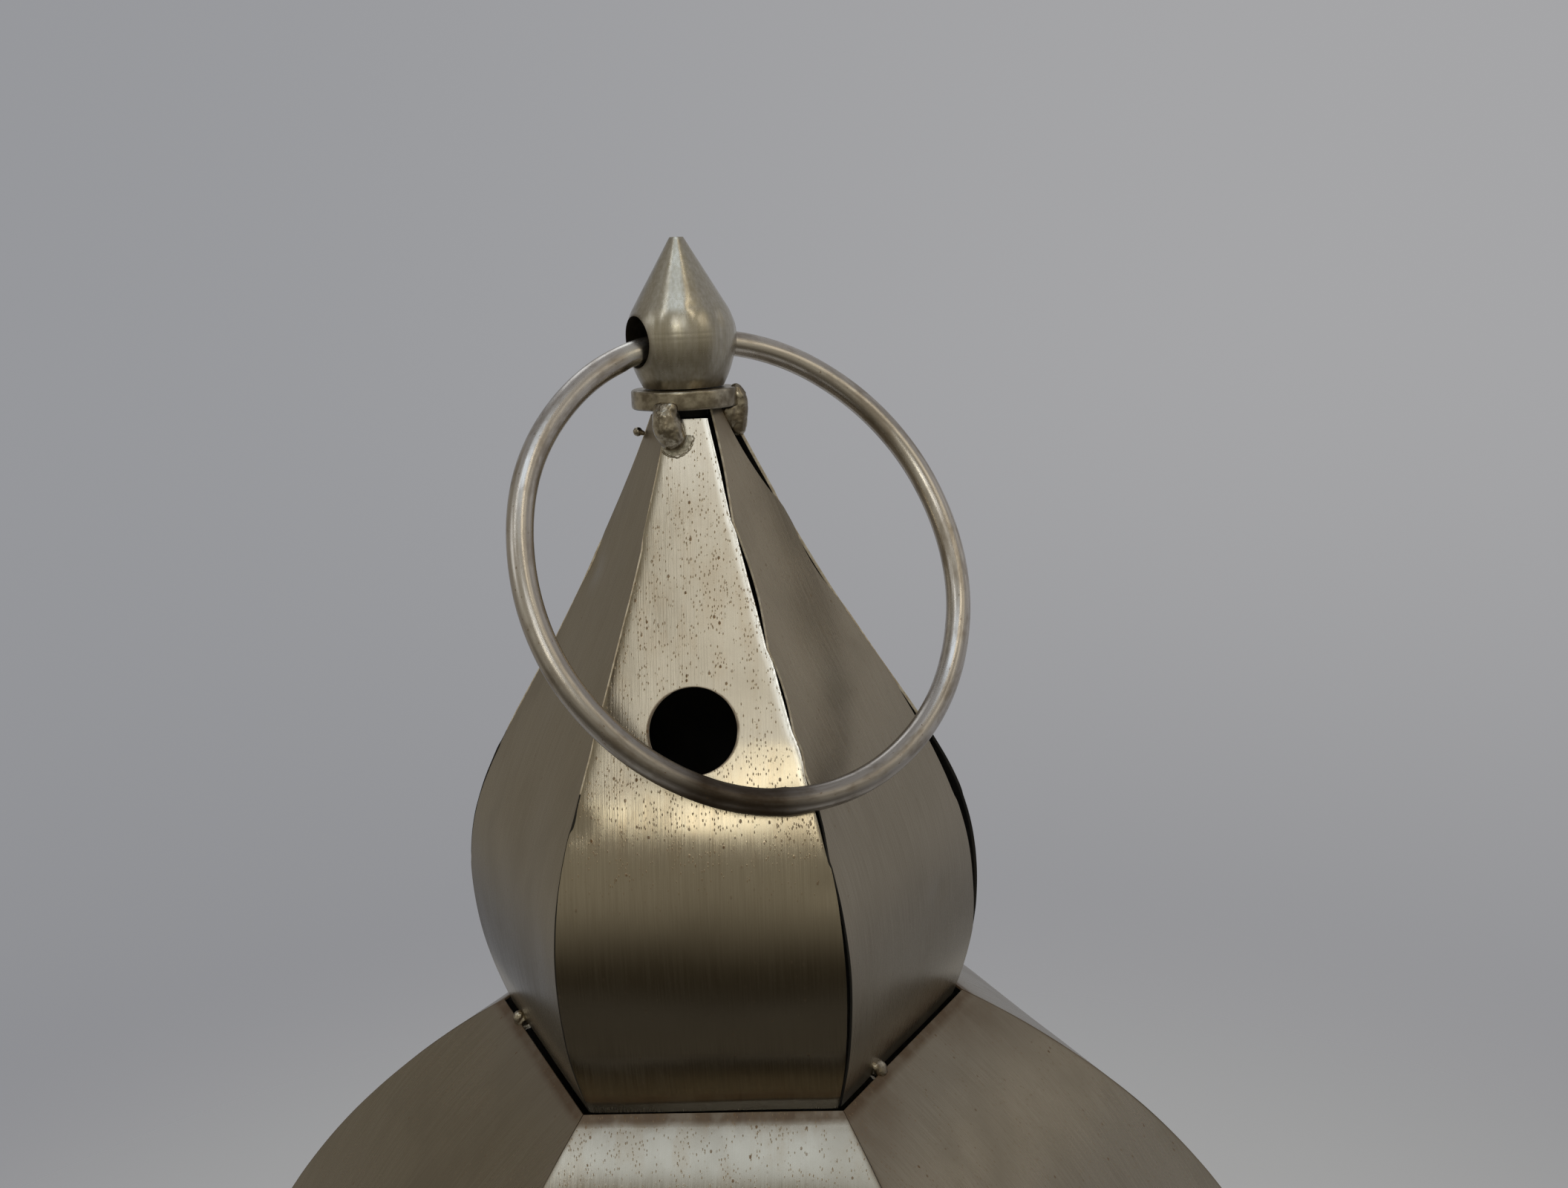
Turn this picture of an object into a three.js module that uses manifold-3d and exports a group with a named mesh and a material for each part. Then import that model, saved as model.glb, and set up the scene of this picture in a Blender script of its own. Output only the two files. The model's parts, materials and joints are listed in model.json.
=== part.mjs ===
// Hexagonal sheet-metal candle lantern: turned finial with a swinging ring, an onion dome of petal
// panels, a wider domed roof, a glazed body with a hinged door, and a base on turned feet.
// Millimetres, +Z up, origin on the floor under the middle of the lantern, front panel towards -Y.

import * as THREE from "three";
import { mergeVertices } from "three/addons/utils/BufferGeometryUtils.js";
import Module from "manifold-3d";

const wasm = await Module();
wasm.setup();

// Gaps and sheet
const SEAT_GAP = 0.3; // between pieces that touch
const SEAM_GAP = 0.5; // between neighbouring panels, across the corner
const PANEL_SHEET = 1.0;
const ROUND_SEGMENTS = 24;
const SMALL_SEGMENTS = 16;
const MERGE_WITHIN = 1e-4; // points this near count as one

// Feet and base: a plate on a flared skirt
const FOOT_STAND = 8; // floor to the skirt's lower edge
const FOOT_R = 11;
const FOOT_FACE_R = 8;
const FOOT_NECK_R = 6;
const FOOT_INSET = 16; // foot's middle inside the posts' corners
const SKIRT_DROP = 24;
const SKIRT_FLARE = 7;
const BASE_LEDGE = 8; // plate's edge beyond the posts' corners
const BASE_SHEET = 1.6;

// Candle dish and its rivet
const DISH_R = 46;
const DISH_HEIGHT = 12;
const DISH_FLARE = 5;
const DISH_SHEET = 1.2;
const DISH_BOSS_R = 7; // low middle that the rivet sits in
const DISH_STEP = 2; // the candle's seat above that middle
const DISH_RIVET_R = 2;
const DISH_RIVET_HEAD_R = 5;
const DISH_RIVET_HEAD = 1.5;
const DISH_SEGMENTS = 36;
const RIVET_HOLE_GAP = 0.4;
const RIVET_DOME = 0.6; // flat on a rivet's head, as a share of the head

// Posts and panes
const BODY_R = 150; // corner radius at the posts' outer edge
const POST_HEIGHT = 250;
const POST_SHEET = 1.2;
const POST_LEG = 18; // outer leg, from the corner
const POST_WEB = 7; // corner to the bottom of the pane's groove
const POST_LIP = 13; // inner lip, from the corner
const GLASS = 2.5;
const GLASS_GAP = 0.3;

// Top frame
const FRAME_OVERHANG = 10; // frame's edge beyond the posts' corners
const FRAME_WIDTH = 34;
const FRAME_SHEET = 2;
const FRAME_LIP = 8;

// Door on the front side
const DOOR_SHEET = 1.2;
const DOOR_FACE_GAP = 0.4; // door plate to the posts' faces
const DOOR_END_GAP = 2.5; // above and below the door
const DOOR_SIDE_GAP = 0.5; // glazing channel to the posts' legs
const DOOR_LAP = 6; // door over the post on the latch side
const DOOR_RAIL = 14;
const GLAZING_BITE = 3.5;
const HINGE_R = 3;
const HINGE_INSET = 0.75; // hinge's line inside the corner
const HINGE_BARREL = 16;
const HINGE_PIN_R = 1.4;
const HINGE_PIN_GAP = 0.2;
const HINGE_BARREL_GAP = 0.4;
const HINGE_HEAD_R = 2.4;
const HINGE_HEAD = 1.2;
const HINGE_SPACING = 150;
const KNOB_R = 5;
const KNOB_THICK = 5;
const KNOB_FOOT_R = 4;
const KNOB_FOOT = 1.2;
const KNOB_NECK_R = 2.2;
const KNOB_NECK = 2.3;
const KNOB_BELOW_LATCH = 45;

// Turn button on the front right post
const LATCH_LENGTH = 28;
const LATCH_WIDTH = 8;
const LATCH_SHEET = 1.5;
const LATCH_RIVET_R = 2;
const LATCH_RIVET_HEAD_R = 3.6;
const LATCH_RIVET_HEAD = 1.6;
const LATCH_ABOVE_MIDDLE = 10;

// Roof: the lower dome, its panels curving in from the eave to the opening under the upper dome
const ROOF_HEIGHT = 139.3;
const ROOF_SETBACK = 5; // eave's corners inside the top frame's edge
const ROOF_EAVE_REACH = 18.5; // length of the curve's upright handle at the eave
const ROOF_TOP_REACH = 48; // drop of the curve's handle at the top
const ROOF_TOP_SLOPE = 1.78;
const ROOF_STEPS = 12;

// Dome: the upper onion
const DOME_SINK = 1; // dome's lower edge below the roof's upper edge
const DOME_NECK_GAP = 2.4; // dome's foot inside the roof's opening, at the corners
const DOME_HEIGHT = 155.3;
const DOME_MOUTH_GAP = 1.9; // round the spigot's head, at the top
const DOME_BELLY_R = 65.1;
const DOME_BELLY_HEIGHT = 35.8;
const DOME_FOOT_R = 58.2;
const DOME_FLANK_SLOPE = 0.44;
const DOME_FLANK_REACH = 72.4;
const DOME_SHOULDER_REACH = 35.7;
const DOME_UNDER_REACH = 12.5;
const DOME_FOOT_SLOPE = 0.38;
const DOME_FOOT_REACH = 13.2;
const DOME_STEPS = 16;
const VENT_R = 10;
const VENT_BELOW_TOP = 65.4;

// Tack welds between dome and roof
const TACK_LAP = 1.4; // weld metal over each edge
const TACK_HEIGHT = 7;
const TACKS = [
  // name, side, place along the side from its middle, as a share of half the side
  { name: "left", side: "front_left", share: -0.6 },
  { name: "right", side: "front_right", share: -0.42 },
  { name: "rear_left", side: "rear_left", share: 0.4 },
  { name: "rear_right", side: "rear_right", share: 0.5 },
];

// Collar, which sits a little crooked on the dome, as the welder left it
const COLLAR_LIFT = 1.5; // washer's underside above the dome's top edge
const COLLAR_LEAN_BACK = 4.5; // degrees
const COLLAR_LEAN_LEFT = -0.5; // degrees
const COLLAR_SHIFT = -1.3; // along X, off the dome's middle
const WASHER_R = 12.6;
const WASHER_THICK = 4.5;
const WASHER_CHAMFER = 0.6;
const SPIGOT_R = 4;
const SPIGOT_LIP = 1.4; // peened head beyond the spigot
const SPIGOT_HEAD = 1.8;
const LUGS = [
  // corner, upper and lower end from the washer's top, half the width
  { corner: "front_left", top: -2.4, bottom: -14, half: 3.2 },
  { corner: "right", top: 0.5, bottom: -11.8, half: 2.5 },
  { corner: "rear_left", top: 0, bottom: -13, half: 2.9 },
];
const LUG_LAP = 0.6; // upper lump's middle inside the washer's edge
const LUG_LUMP = 0.7; // each lump's share of the lug's length
const LUG_STEP_IN = 1; // lower lump's middle inside the upper one's
const WELD_SEGMENTS = 10;
const BEAD_R = 1.3;
const BEAD_BELOW_TOP = 4;

// Finial
const FINIAL_HEIGHT = 34.6;
const FINIAL_TIP_R = 1.6;
const FINIAL_SHOULDER_R = 11.6;
const FINIAL_SHOULDER_HEIGHT = 17.6;
const FINIAL_BELLY_R = 12.7;
const FINIAL_BELLY_HEIGHT = 12.4;
const FINIAL_NECK_R = 9.4;
const FINIAL_BELLY_STEPS = 5;
const FINIAL_SHOULDER_STEPS = 3;
const RING_HOLE_R = 6;
const RING_HOLE_HEIGHT = 11.2;

// Ring handle
const RING_R = 55; // middle of the rod
const RING_ROD_R = 3;
const RING_HOLE_GAP = 0.3; // rod to the hole's rim
const RING_SLIDE = 1.7; // ring's middle off the finial's middle, along the hole
const RING_AZIMUTH = 34.5; // direction of the hole, degrees from +X
const RING_WIDE_LEAN = 45; // degrees, the search for the ring's rest starts here
const RING_LEAN_STEP = 0.01; // degrees, and ends at this step
const RING_SAMPLES = 720; // points on the rod that are measured to the dome
const RING_ROD_SIDES = 12;
const RING_STEPS = 56;

// A hexagon's flat lies at this share of its corner radius
const FLAT = Math.cos(Math.PI / 6);
const HALF_CORNER = Math.PI / 6;
const CORNER_TAN = Math.tan(Math.PI / 3);

// Corner radii worked out from the sizes above
const plateR = BODY_R + BASE_LEDGE;
const frameR = BODY_R + FRAME_OVERHANG;
const eaveR = frameR - ROOF_SETBACK;
const roofTopR = DOME_FOOT_R + DOME_NECK_GAP;
const spigotHeadR = SPIGOT_R + SPIGOT_LIP;
const domeTopR = (spigotHeadR + DOME_MOUTH_GAP + PANEL_SHEET) / FLAT;

// Heights worked out from the sizes above
const plateTop = FOOT_STAND + SKIRT_DROP;
const postBottom = plateTop + SEAT_GAP;
const postTop = postBottom + POST_HEIGHT;
const frameBottom = postTop + SEAT_GAP;
const frameTop = frameBottom + FRAME_SHEET;
const roofBottom = frameTop + SEAT_GAP;
const roofTop = roofBottom + ROOF_HEIGHT;
const domeBottom = roofTop - DOME_SINK;
const domeTop = domeBottom + DOME_HEIGHT;
const collarBottom = domeTop + COLLAR_LIFT;
const collarTop = collarBottom + WASHER_THICK;

// Directions of the six sides and the six corners, degrees from +X
const HALF_SIDE = 30;
const SIDE_ANGLES = {
  front: -90,
  front_right: -30,
  rear_right: 30,
  rear: 90,
  rear_left: 150,
  front_left: 210,
};
const CORNER_ANGLES = {
  front_right: -60,
  right: 0,
  rear_right: 60,
  rear_left: 120,
  left: 180,
  front_left: 240,
};

const rad = THREE.MathUtils.degToRad;

// Materials
const metal = (color, roughness) => new THREE.MeshStandardMaterial({ color, roughness, metalness: 1 });
const MATERIALS = {
  sheet: () => metal(0x9c968a, 0.38),
  turned: () => metal(0xa39d92, 0.3),
  rod: () => metal(0x8b8479, 0.35),
  weld: () => metal(0x5d564d, 0.6),
  glass: () =>
    new THREE.MeshStandardMaterial({ color: 0xdfe8e6, roughness: 0.05, transparent: true, opacity: 0.35 }),
};

// A closed geometry as a solid for joining and cutting
function solid(geometry) {
  const bare = geometry.clone();
  bare.deleteAttribute("normal");
  bare.deleteAttribute("uv");
  const merged = mergeVertices(bare, MERGE_WITHIN);
  const index = merged.index.array;
  const kept = [];
  for (let i = 0; i < index.length; i += 3) {
    const [a, b, c] = [index[i], index[i + 1], index[i + 2]];
    if (a !== b && b !== c && a !== c) kept.push(a, b, c);
  }
  const mesh = new wasm.Mesh({
    numProp: 3,
    vertProperties: merged.attributes.position.array,
    triVerts: new Uint32Array(kept),
  });
  return new wasm.Manifold(mesh);
}

// A solid back as a three.js geometry
function geometryOf(body) {
  const mesh = body.getMesh();
  const geometry = new THREE.BufferGeometry();
  geometry.setAttribute("position", new THREE.BufferAttribute(Float32Array.from(mesh.vertProperties), 3));
  geometry.setIndex(new THREE.BufferAttribute(Uint32Array.from(mesh.triVerts), 1));
  geometry.computeVertexNormals();
  return geometry;
}

// One named sub-part
function piece(name, shape, material) {
  const mesh = new THREE.Mesh(shape.isBufferGeometry ? shape : geometryOf(shape), MATERIALS[material]());
  mesh.name = name;
  return mesh;
}

// A box from two corners
function box(low, high) {
  const size = high.map((value, i) => value - low[i]);
  const geometry = new THREE.BoxGeometry(...size);
  return geometry.translate(...low.map((value, i) => value + size[i] / 2));
}

// A turned shape round Z from [radius, height] points, in order from the lower end of the axis upwards
function turned(points, segments = ROUND_SEGMENTS) {
  const profile = points.map(([r, z]) => new THREE.Vector2(r, z));
  return new THREE.LatheGeometry(profile, segments).rotateX(Math.PI / 2);
}

// The same round a hexagon, with a corner on +X and radii measured at the corners
function hexagonal(points) {
  return turned(points, 6).rotateZ(Math.PI / 6);
}

// A round bar along Z
function bar(radius, bottom, top) {
  return turned([[0, bottom], [radius, bottom], [radius, top], [0, top]]);
}

// The roof's corner line, as corner radius and height above its lower edge, bottom to top
function roofCurve() {
  const eave = new THREE.Vector2(eaveR, 0);
  const top = new THREE.Vector2(roofTopR, ROOF_HEIGHT);
  return new THREE.CubicBezierCurve(
    eave,
    new THREE.Vector2(eave.x, ROOF_EAVE_REACH),
    new THREE.Vector2(top.x + ROOF_TOP_SLOPE * ROOF_TOP_REACH, top.y - ROOF_TOP_REACH),
    top,
  );
}

// The dome's: in at the foot, out to the belly, and up the flank to the top
function domeCurve() {
  const foot = new THREE.Vector2(DOME_FOOT_R, 0);
  const belly = new THREE.Vector2(DOME_BELLY_R, DOME_BELLY_HEIGHT);
  const top = new THREE.Vector2(domeTopR, DOME_HEIGHT);
  const curve = new THREE.CurvePath();
  curve.add(
    new THREE.CubicBezierCurve(
      foot,
      new THREE.Vector2(foot.x + DOME_FOOT_SLOPE * DOME_FOOT_REACH, DOME_FOOT_REACH),
      new THREE.Vector2(belly.x, belly.y - DOME_UNDER_REACH),
      belly,
    ),
  );
  curve.add(
    new THREE.CubicBezierCurve(
      belly,
      new THREE.Vector2(belly.x, belly.y + DOME_SHOULDER_REACH),
      new THREE.Vector2(top.x + DOME_FLANK_SLOPE * DOME_FLANK_REACH, top.y - DOME_FLANK_REACH),
      top,
    ),
  );
  return curve;
}

// The panel's outer face moved out along its own normal, as points in the plane through its middle
function faceLine(curve, steps, bottom, out) {
  const corners = curve.getSpacedPoints(steps);
  return corners.map((point, i) => {
    const before = corners[Math.max(i - 1, 0)];
    const after = corners[Math.min(i + 1, steps)];
    const along = new THREE.Vector2((after.x - before.x) * FLAT, after.y - before.y).normalize();
    return new THREE.Vector2(point.x * FLAT + along.y * out, bottom + point.y - along.x * out);
  });
}

// A sheet bent along the curve and cut to the wedge between two corners, its middle on +X.
// extra widens it all round, to cut clearance for a neighbour.
function panel(curve, steps, bottom, seam, extra = 0) {
  const outer = faceLine(curve, steps, bottom, extra);
  const inner = faceLine(curve, steps, bottom, -PANEL_SHEET - extra);
  const reach = Math.max(...outer.map((point) => point.x)) + PANEL_SHEET;
  const section = new THREE.Shape([...outer, ...inner.reverse()]);
  const sheet = new THREE.ExtrudeGeometry(section, { depth: 2 * reach, bevelEnabled: false, steps: 1 });
  sheet.translate(0, 0, -reach).rotateX(Math.PI / 2);
  const wide = (reach - seam) * Math.tan(HALF_CORNER);
  const wedge = new THREE.Shape([
    new THREE.Vector2(seam, 0),
    new THREE.Vector2(reach, -wide),
    new THREE.Vector2(reach, wide),
  ]);
  const prism = new THREE.ExtrudeGeometry(wedge, { depth: outer[steps].y + reach, bevelEnabled: false });
  return solid(sheet).intersect(solid(prism));
}

// The dome's face at a height: a point in the plane through the panel's middle, and the face's normal there
function domeFaceAt(height) {
  const line = faceLine(domeCurve(), DOME_STEPS, domeBottom, 0);
  const next = line.findIndex((point) => point.y >= height);
  const [below, above] = [line[next - 1], line[next]];
  const at = below.clone().lerp(above, (height - below.y) / (above.y - below.y));
  const along = above.clone().sub(below).normalize();
  return { at, normal: new THREE.Vector2(along.y, -along.x) };
}

// A round cutter square to the face, for the vent hole
function ventCutter() {
  const { at, normal } = domeFaceAt(domeTop - VENT_BELOW_TOP);
  const cutter = bar(VENT_R, -VENT_R, VENT_R);
  const turn = Math.atan2(normal.x, normal.y);
  return solid(cutter.rotateY(turn).translate(at.x, 0, at.y));
}

const turnZ = (body, degrees) => body.rotate([0, 0, degrees]);

// Dome and roof panels
function domePanels() {
  const plain = panel(domeCurve(), DOME_STEPS, domeBottom, SEAM_GAP);
  const vented = plain.subtract(ventCutter());
  return Object.entries(SIDE_ANGLES).map(([side, angle], i) =>
    piece("dome_panel_" + side, turnZ(i % 2 ? plain : vented, angle), "sheet"),
  );
}

function roofPanels() {
  const plain = panel(roofCurve(), ROOF_STEPS, roofBottom, SEAM_GAP);
  return Object.entries(SIDE_ANGLES).map(([side, angle]) =>
    piece("roof_panel_" + side, turnZ(plain, angle), "sheet"),
  );
}

// Dome and roof with clearance round them, to trim the weld metal that bridges to them
const domeClearance = panel(domeCurve(), DOME_STEPS, domeBottom, -SEAT_GAP, SEAT_GAP);
const roofClearance = panel(roofCurve(), ROOF_STEPS, roofBottom, -SEAT_GAP, SEAT_GAP);

// A lump of weld metal
function lump(radius, height, x, z) {
  const ball = new THREE.SphereGeometry(radius, WELD_SEGMENTS, WELD_SEGMENTS / 2).rotateX(Math.PI / 2);
  return solid(ball.scale(1, 1, height / (2 * radius)).translate(x, 0, z));
}

// What is left of a trimmed lump, without the crumbs behind the sheet
function largestOf(body) {
  return body.decompose().sort((a, b) => b.volume() - a.volume())[0];
}

// Tack welds across the gap between the dome's lower edge and the roof's upper edge
function tacks() {
  const middle = ((DOME_FOOT_R + roofTopR) / 2) * FLAT;
  const radius = (DOME_NECK_GAP / 2) * FLAT + TACK_LAP;
  const halfSide = DOME_FOOT_R * Math.sin(HALF_CORNER);
  return TACKS.map(({ name, side, share }) => {
    const raw = lump(radius, TACK_HEIGHT, middle, roofTop).translate([0, share * halfSide, 0]);
    const trimmed = largestOf(raw.subtract(domeClearance).subtract(roofClearance));
    return piece("dome_tack_" + name, turnZ(trimmed, SIDE_ANGLES[side]), "weld");
  });
}

// Finial: cone, rounded belly, neck, and a spigot through the washer with a peened head under it
function finial() {
  const underside = -WASHER_THICK - SEAT_GAP;
  const neck = new THREE.Vector2(FINIAL_NECK_R, SEAT_GAP);
  const belly = new THREE.Vector2(FINIAL_BELLY_R, FINIAL_BELLY_HEIGHT);
  const shoulder = new THREE.Vector2(FINIAL_SHOULDER_R, FINIAL_SHOULDER_HEIGHT);
  const coneStart = new THREE.Vector2(
    FINIAL_BELLY_R,
    FINIAL_BELLY_HEIGHT + (FINIAL_SHOULDER_HEIGHT - FINIAL_BELLY_HEIGHT) / 2,
  );
  const round = new THREE.QuadraticBezierCurve(neck, new THREE.Vector2(belly.x, belly.y / 2), belly);
  const upper = new THREE.QuadraticBezierCurve(belly, coneStart, shoulder);
  const curve = [...round.getPoints(FINIAL_BELLY_STEPS), ...upper.getPoints(FINIAL_SHOULDER_STEPS).slice(1)];
  const rounded = curve.map((point) => [point.x, point.y]);
  const body = turned([
    [0, underside - SPIGOT_HEAD],
    [spigotHeadR, underside - SPIGOT_HEAD],
    [spigotHeadR, underside],
    [SPIGOT_R, underside],
    [SPIGOT_R, SEAT_GAP],
    ...rounded,
    [FINIAL_TIP_R, FINIAL_HEIGHT],
    [0, FINIAL_HEIGHT],
  ]);
  const hole = bar(RING_HOLE_R, -2 * FINIAL_BELLY_R, 2 * FINIAL_BELLY_R);
  hole.rotateY(Math.PI / 2).rotateZ(rad(RING_AZIMUTH)).translate(0, 0, RING_HOLE_HEIGHT);
  return solid(body).subtract(solid(hole));
}

// The washer's section below its top face, or that section grown all round to cut clearance
function washerSection(extra) {
  const edge = WASHER_R + extra;
  const bore = SPIGOT_R + SEAT_GAP - extra;
  const [low, high] = [-WASHER_THICK - extra, extra];
  return [
    [bore, low],
    [edge - WASHER_CHAMFER, low],
    [edge, low + WASHER_CHAMFER],
    [edge, high - WASHER_CHAMFER],
    [edge - WASHER_CHAMFER, high],
    [bore, high],
    [bore, low],
  ];
}

// Ring, hanging from the bottom of the hole and leaning on the dome. Its middle in the hole's own frame:
const ringSag = RING_R - Math.sqrt(RING_R ** 2 - (FINIAL_BELLY_R + Math.abs(RING_SLIDE)) ** 2);
const ringDrop = RING_HOLE_R - RING_ROD_R - RING_HOLE_GAP - ringSag;
const ringMiddle = new THREE.Vector3(RING_SLIDE, 0, -RING_R - ringDrop);

// From the ring's hanging frame to the collar's frame, at a lean from hanging straight in degrees
function ringMatrix(lean) {
  const turn = new THREE.Matrix4().makeRotationZ(rad(RING_AZIMUTH));
  const tilt = new THREE.Matrix4().makeRotationX(-rad(lean));
  return new THREE.Matrix4().makeTranslation(0, 0, RING_HOLE_HEIGHT).multiply(turn).multiply(tilt);
}

// The least distance from the middle of the ring's rod to the dome, at a lean
function ringToDome(collar, lean) {
  const toWorld = collar.matrixWorld.clone().multiply(ringMatrix(lean));
  let least = Infinity;
  for (let i = 0; i < RING_SAMPLES; i++) {
    const angle = (2 * Math.PI * i) / RING_SAMPLES;
    const around = new THREE.Vector3(Math.cos(angle), 0, Math.sin(angle)).multiplyScalar(RING_R);
    const point = around.add(ringMiddle).applyMatrix4(toWorld);
    if (point.z > domeBottom && point.z < domeTop) least = Math.min(least, domeDistance(point));
  }
  return least;
}

// How far a point lies out from the dome, whose faces are all one line pushed sideways
function domeDistance(point) {
  const line = faceLine(domeCurve(), DOME_STEPS, domeBottom, 0);
  const out = Object.values(SIDE_ANGLES).map(
    (angle) => point.x * Math.cos(rad(angle)) + point.y * Math.sin(rad(angle)),
  );
  const flat = new THREE.Vector3(Math.max(...out), point.z, 0);
  const nearest = new THREE.Vector3();
  const ends = line.map((end) => new THREE.Vector3(end.x, end.y, 0));
  const distances = ends.slice(1).map((end, i) => {
    const step = new THREE.Line3(ends[i], end);
    return step.closestPointToPoint(flat, true, nearest).distanceTo(flat);
  });
  return Math.min(...distances) * Math.sign(flat.x - domeFaceAt(point.z).at.x);
}

// The lean at which the ring comes to rest on the dome, halving the step to it from a wide lean
function restLean(collar) {
  const wanted = RING_ROD_R + SEAT_GAP;
  let lean = RING_WIDE_LEAN;
  for (let step = RING_WIDE_LEAN / 2; step > RING_LEAN_STEP; step /= 2) {
    lean += ringToDome(collar, lean) > wanted ? -step : step;
  }
  return lean;
}

function ring(collar) {
  const rod = new THREE.TorusGeometry(RING_R, RING_ROD_R, RING_ROD_SIDES, RING_STEPS).rotateX(Math.PI / 2);
  return rod.translate(...ringMiddle).applyMatrix4(ringMatrix(restLean(collar)));
}

// The collar's own frame: on top of the washer, leaning with it
function collarGroup() {
  const group = new THREE.Group();
  group.position.set(COLLAR_SHIFT, 0, collarTop);
  group.rotation.set(-rad(COLLAR_LEAN_BACK), -rad(COLLAR_LEAN_LEFT), 0);
  group.updateMatrixWorld(true);
  group.add(piece("finial", finial(), "turned"));
  group.add(piece("collar_washer", turned(washerSection(0)), "weld"));
  group.add(piece("ring_handle", ring(group), "rod"));
  return group;
}

// Weld metal from the washer's edge down to a corner of the dome: two lumps run together
function lugs(collar) {
  const washerClearance = solid(turned(washerSection(SEAT_GAP)).applyMatrix4(collar.matrixWorld));
  return LUGS.map(({ corner, top, bottom, half }) => {
    const angle = CORNER_ANGLES[corner];
    const length = top - bottom;
    const reach = WASHER_R - LUG_LAP;
    const long = length * LUG_LUMP;
    const upper = lump(half, long, reach, collarTop + top - long / 2);
    const lower = lump(half, long, reach - LUG_STEP_IN, collarTop + bottom + long / 2);
    const trimmed = turnZ(upper.add(lower), angle)
      .translate([COLLAR_SHIFT, 0, 0])
      .subtract(washerClearance)
      .subtract(turnZ(domeClearance, angle - HALF_SIDE))
      .subtract(turnZ(domeClearance, angle + HALF_SIDE));
    return piece("collar_lug_" + corner, largestOf(trimmed), "weld");
  });
}

// Corner posts: an angle with a groove for a pane on each side of the corner
function postSection() {
  const groove = GLASS + 2 * GLASS_GAP;
  const back = 2 * POST_SHEET + groove;
  const half = [
    [POST_LEG, 0],
    [POST_LEG, POST_SHEET],
    [POST_WEB, POST_SHEET],
    [POST_WEB, POST_SHEET + groove],
    [POST_LIP, POST_SHEET + groove],
    [POST_LIP, back],
  ];
  // along the side from the corner, and in from its face
  const place = ([along, depth], sign) =>
    new THREE.Vector2(BODY_R - along / 2 - depth * FLAT, sign * (along * FLAT - depth / 2));
  const corner = place([0, 0], 1);
  const inner = place([back / CORNER_TAN, back], 1);
  const left = half.map((point) => place(point, 1));
  const right = half.map((point) => place(point, -1));
  return new THREE.Shape([corner, ...left, inner, ...right.reverse()]);
}

// One post at each corner
function posts() {
  const shape = new THREE.ExtrudeGeometry(postSection(), { depth: POST_HEIGHT, bevelEnabled: false });
  shape.translate(0, 0, postBottom);
  return Object.entries(CORNER_ANGLES).map(([corner, angle]) =>
    piece("post_" + corner, shape.clone().rotateZ(rad(angle)), "sheet"),
  );
}

// Fixed panes in every side but the front
function panes() {
  const face = BODY_R * FLAT - POST_SHEET - GLASS_GAP;
  const half = BODY_R / 2 - POST_WEB - GLASS_GAP;
  const low = [face - GLASS, -half, postBottom + GLASS_GAP];
  const high = [face, half, postTop - GLASS_GAP];
  return Object.entries(SIDE_ANGLES)
    .filter(([side]) => side !== "front")
    .map(([side, angle]) => piece("glass_" + side, box(low, high).rotateZ(rad(angle)), "glass"));
}

// Top frame: a hexagonal plate with a turned-down lip
function topFrame() {
  const inner = frameR - FRAME_WIDTH;
  const lip = frameR - FRAME_SHEET;
  return hexagonal([
    [inner, frameBottom],
    [lip, frameBottom],
    [lip, frameBottom - FRAME_LIP],
    [frameR, frameBottom - FRAME_LIP],
    [frameR, frameTop],
    [inner, frameTop],
    [inner, frameBottom],
  ]);
}

// Door sizes, worked out from the posts and the hinge
const frontFace = BODY_R * FLAT;
const doorBack = frontFace + DOOR_FACE_GAP;
const doorFront = doorBack + DOOR_SHEET;
const hingeY = -(frontFace + SEAT_GAP + HINGE_R);
const hingeX = -BODY_R / 2 + HINGE_INSET;
const hingeReach = HINGE_R + SEAT_GAP;
const doorLeft = hingeX + Math.sqrt(hingeReach ** 2 - (-hingeY - doorFront) ** 2);
const doorRight = BODY_R / 2 - POST_LEG + DOOR_LAP;
const doorBottom = postBottom + DOOR_END_GAP;
const doorTop = frameBottom - FRAME_LIP - DOOR_END_GAP;
const doorMiddle = (doorBottom + doorTop) / 2;
const channelHalf = BODY_R / 2 - POST_LEG - DOOR_SIDE_GAP;
const channelWall = DOOR_SHEET + GLAZING_BITE + GLASS_GAP;
const windowHalf = channelHalf - channelWall;
const windowBottom = doorBottom + DOOR_RAIL;
const windowTop = doorTop - DOOR_RAIL;
const channelBack = doorBack - 2 * GLASS_GAP - GLASS - DOOR_SHEET;

// The door's window grown by a margin, between two distances from the middle of the lantern
function windowBox(margin, near, far) {
  return box(
    [-windowHalf - margin, -far, windowBottom - margin],
    [windowHalf + margin, -near, windowTop + margin],
  );
}

// Door frame: a plate over the posts, with a glazing channel behind it that fits between them
function doorFrame() {
  const plate = box([doorLeft, -doorFront, doorBottom], [doorRight, -doorBack, doorTop]);
  const channel = windowBox(channelWall, channelBack, doorFront);
  const window = windowBox(0, channelBack - DOOR_SHEET, doorFront + DOOR_SHEET);
  const groove = windowBox(GLAZING_BITE + GLASS_GAP, channelBack + DOOR_SHEET, doorBack);
  return solid(plate).add(solid(channel)).subtract(solid(window)).subtract(solid(groove));
}

// The door's pane, caught in the frame's groove
function doorGlass() {
  const near = channelBack + DOOR_SHEET + GLASS_GAP;
  return windowBox(GLAZING_BITE, near, near + GLASS);
}

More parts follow.
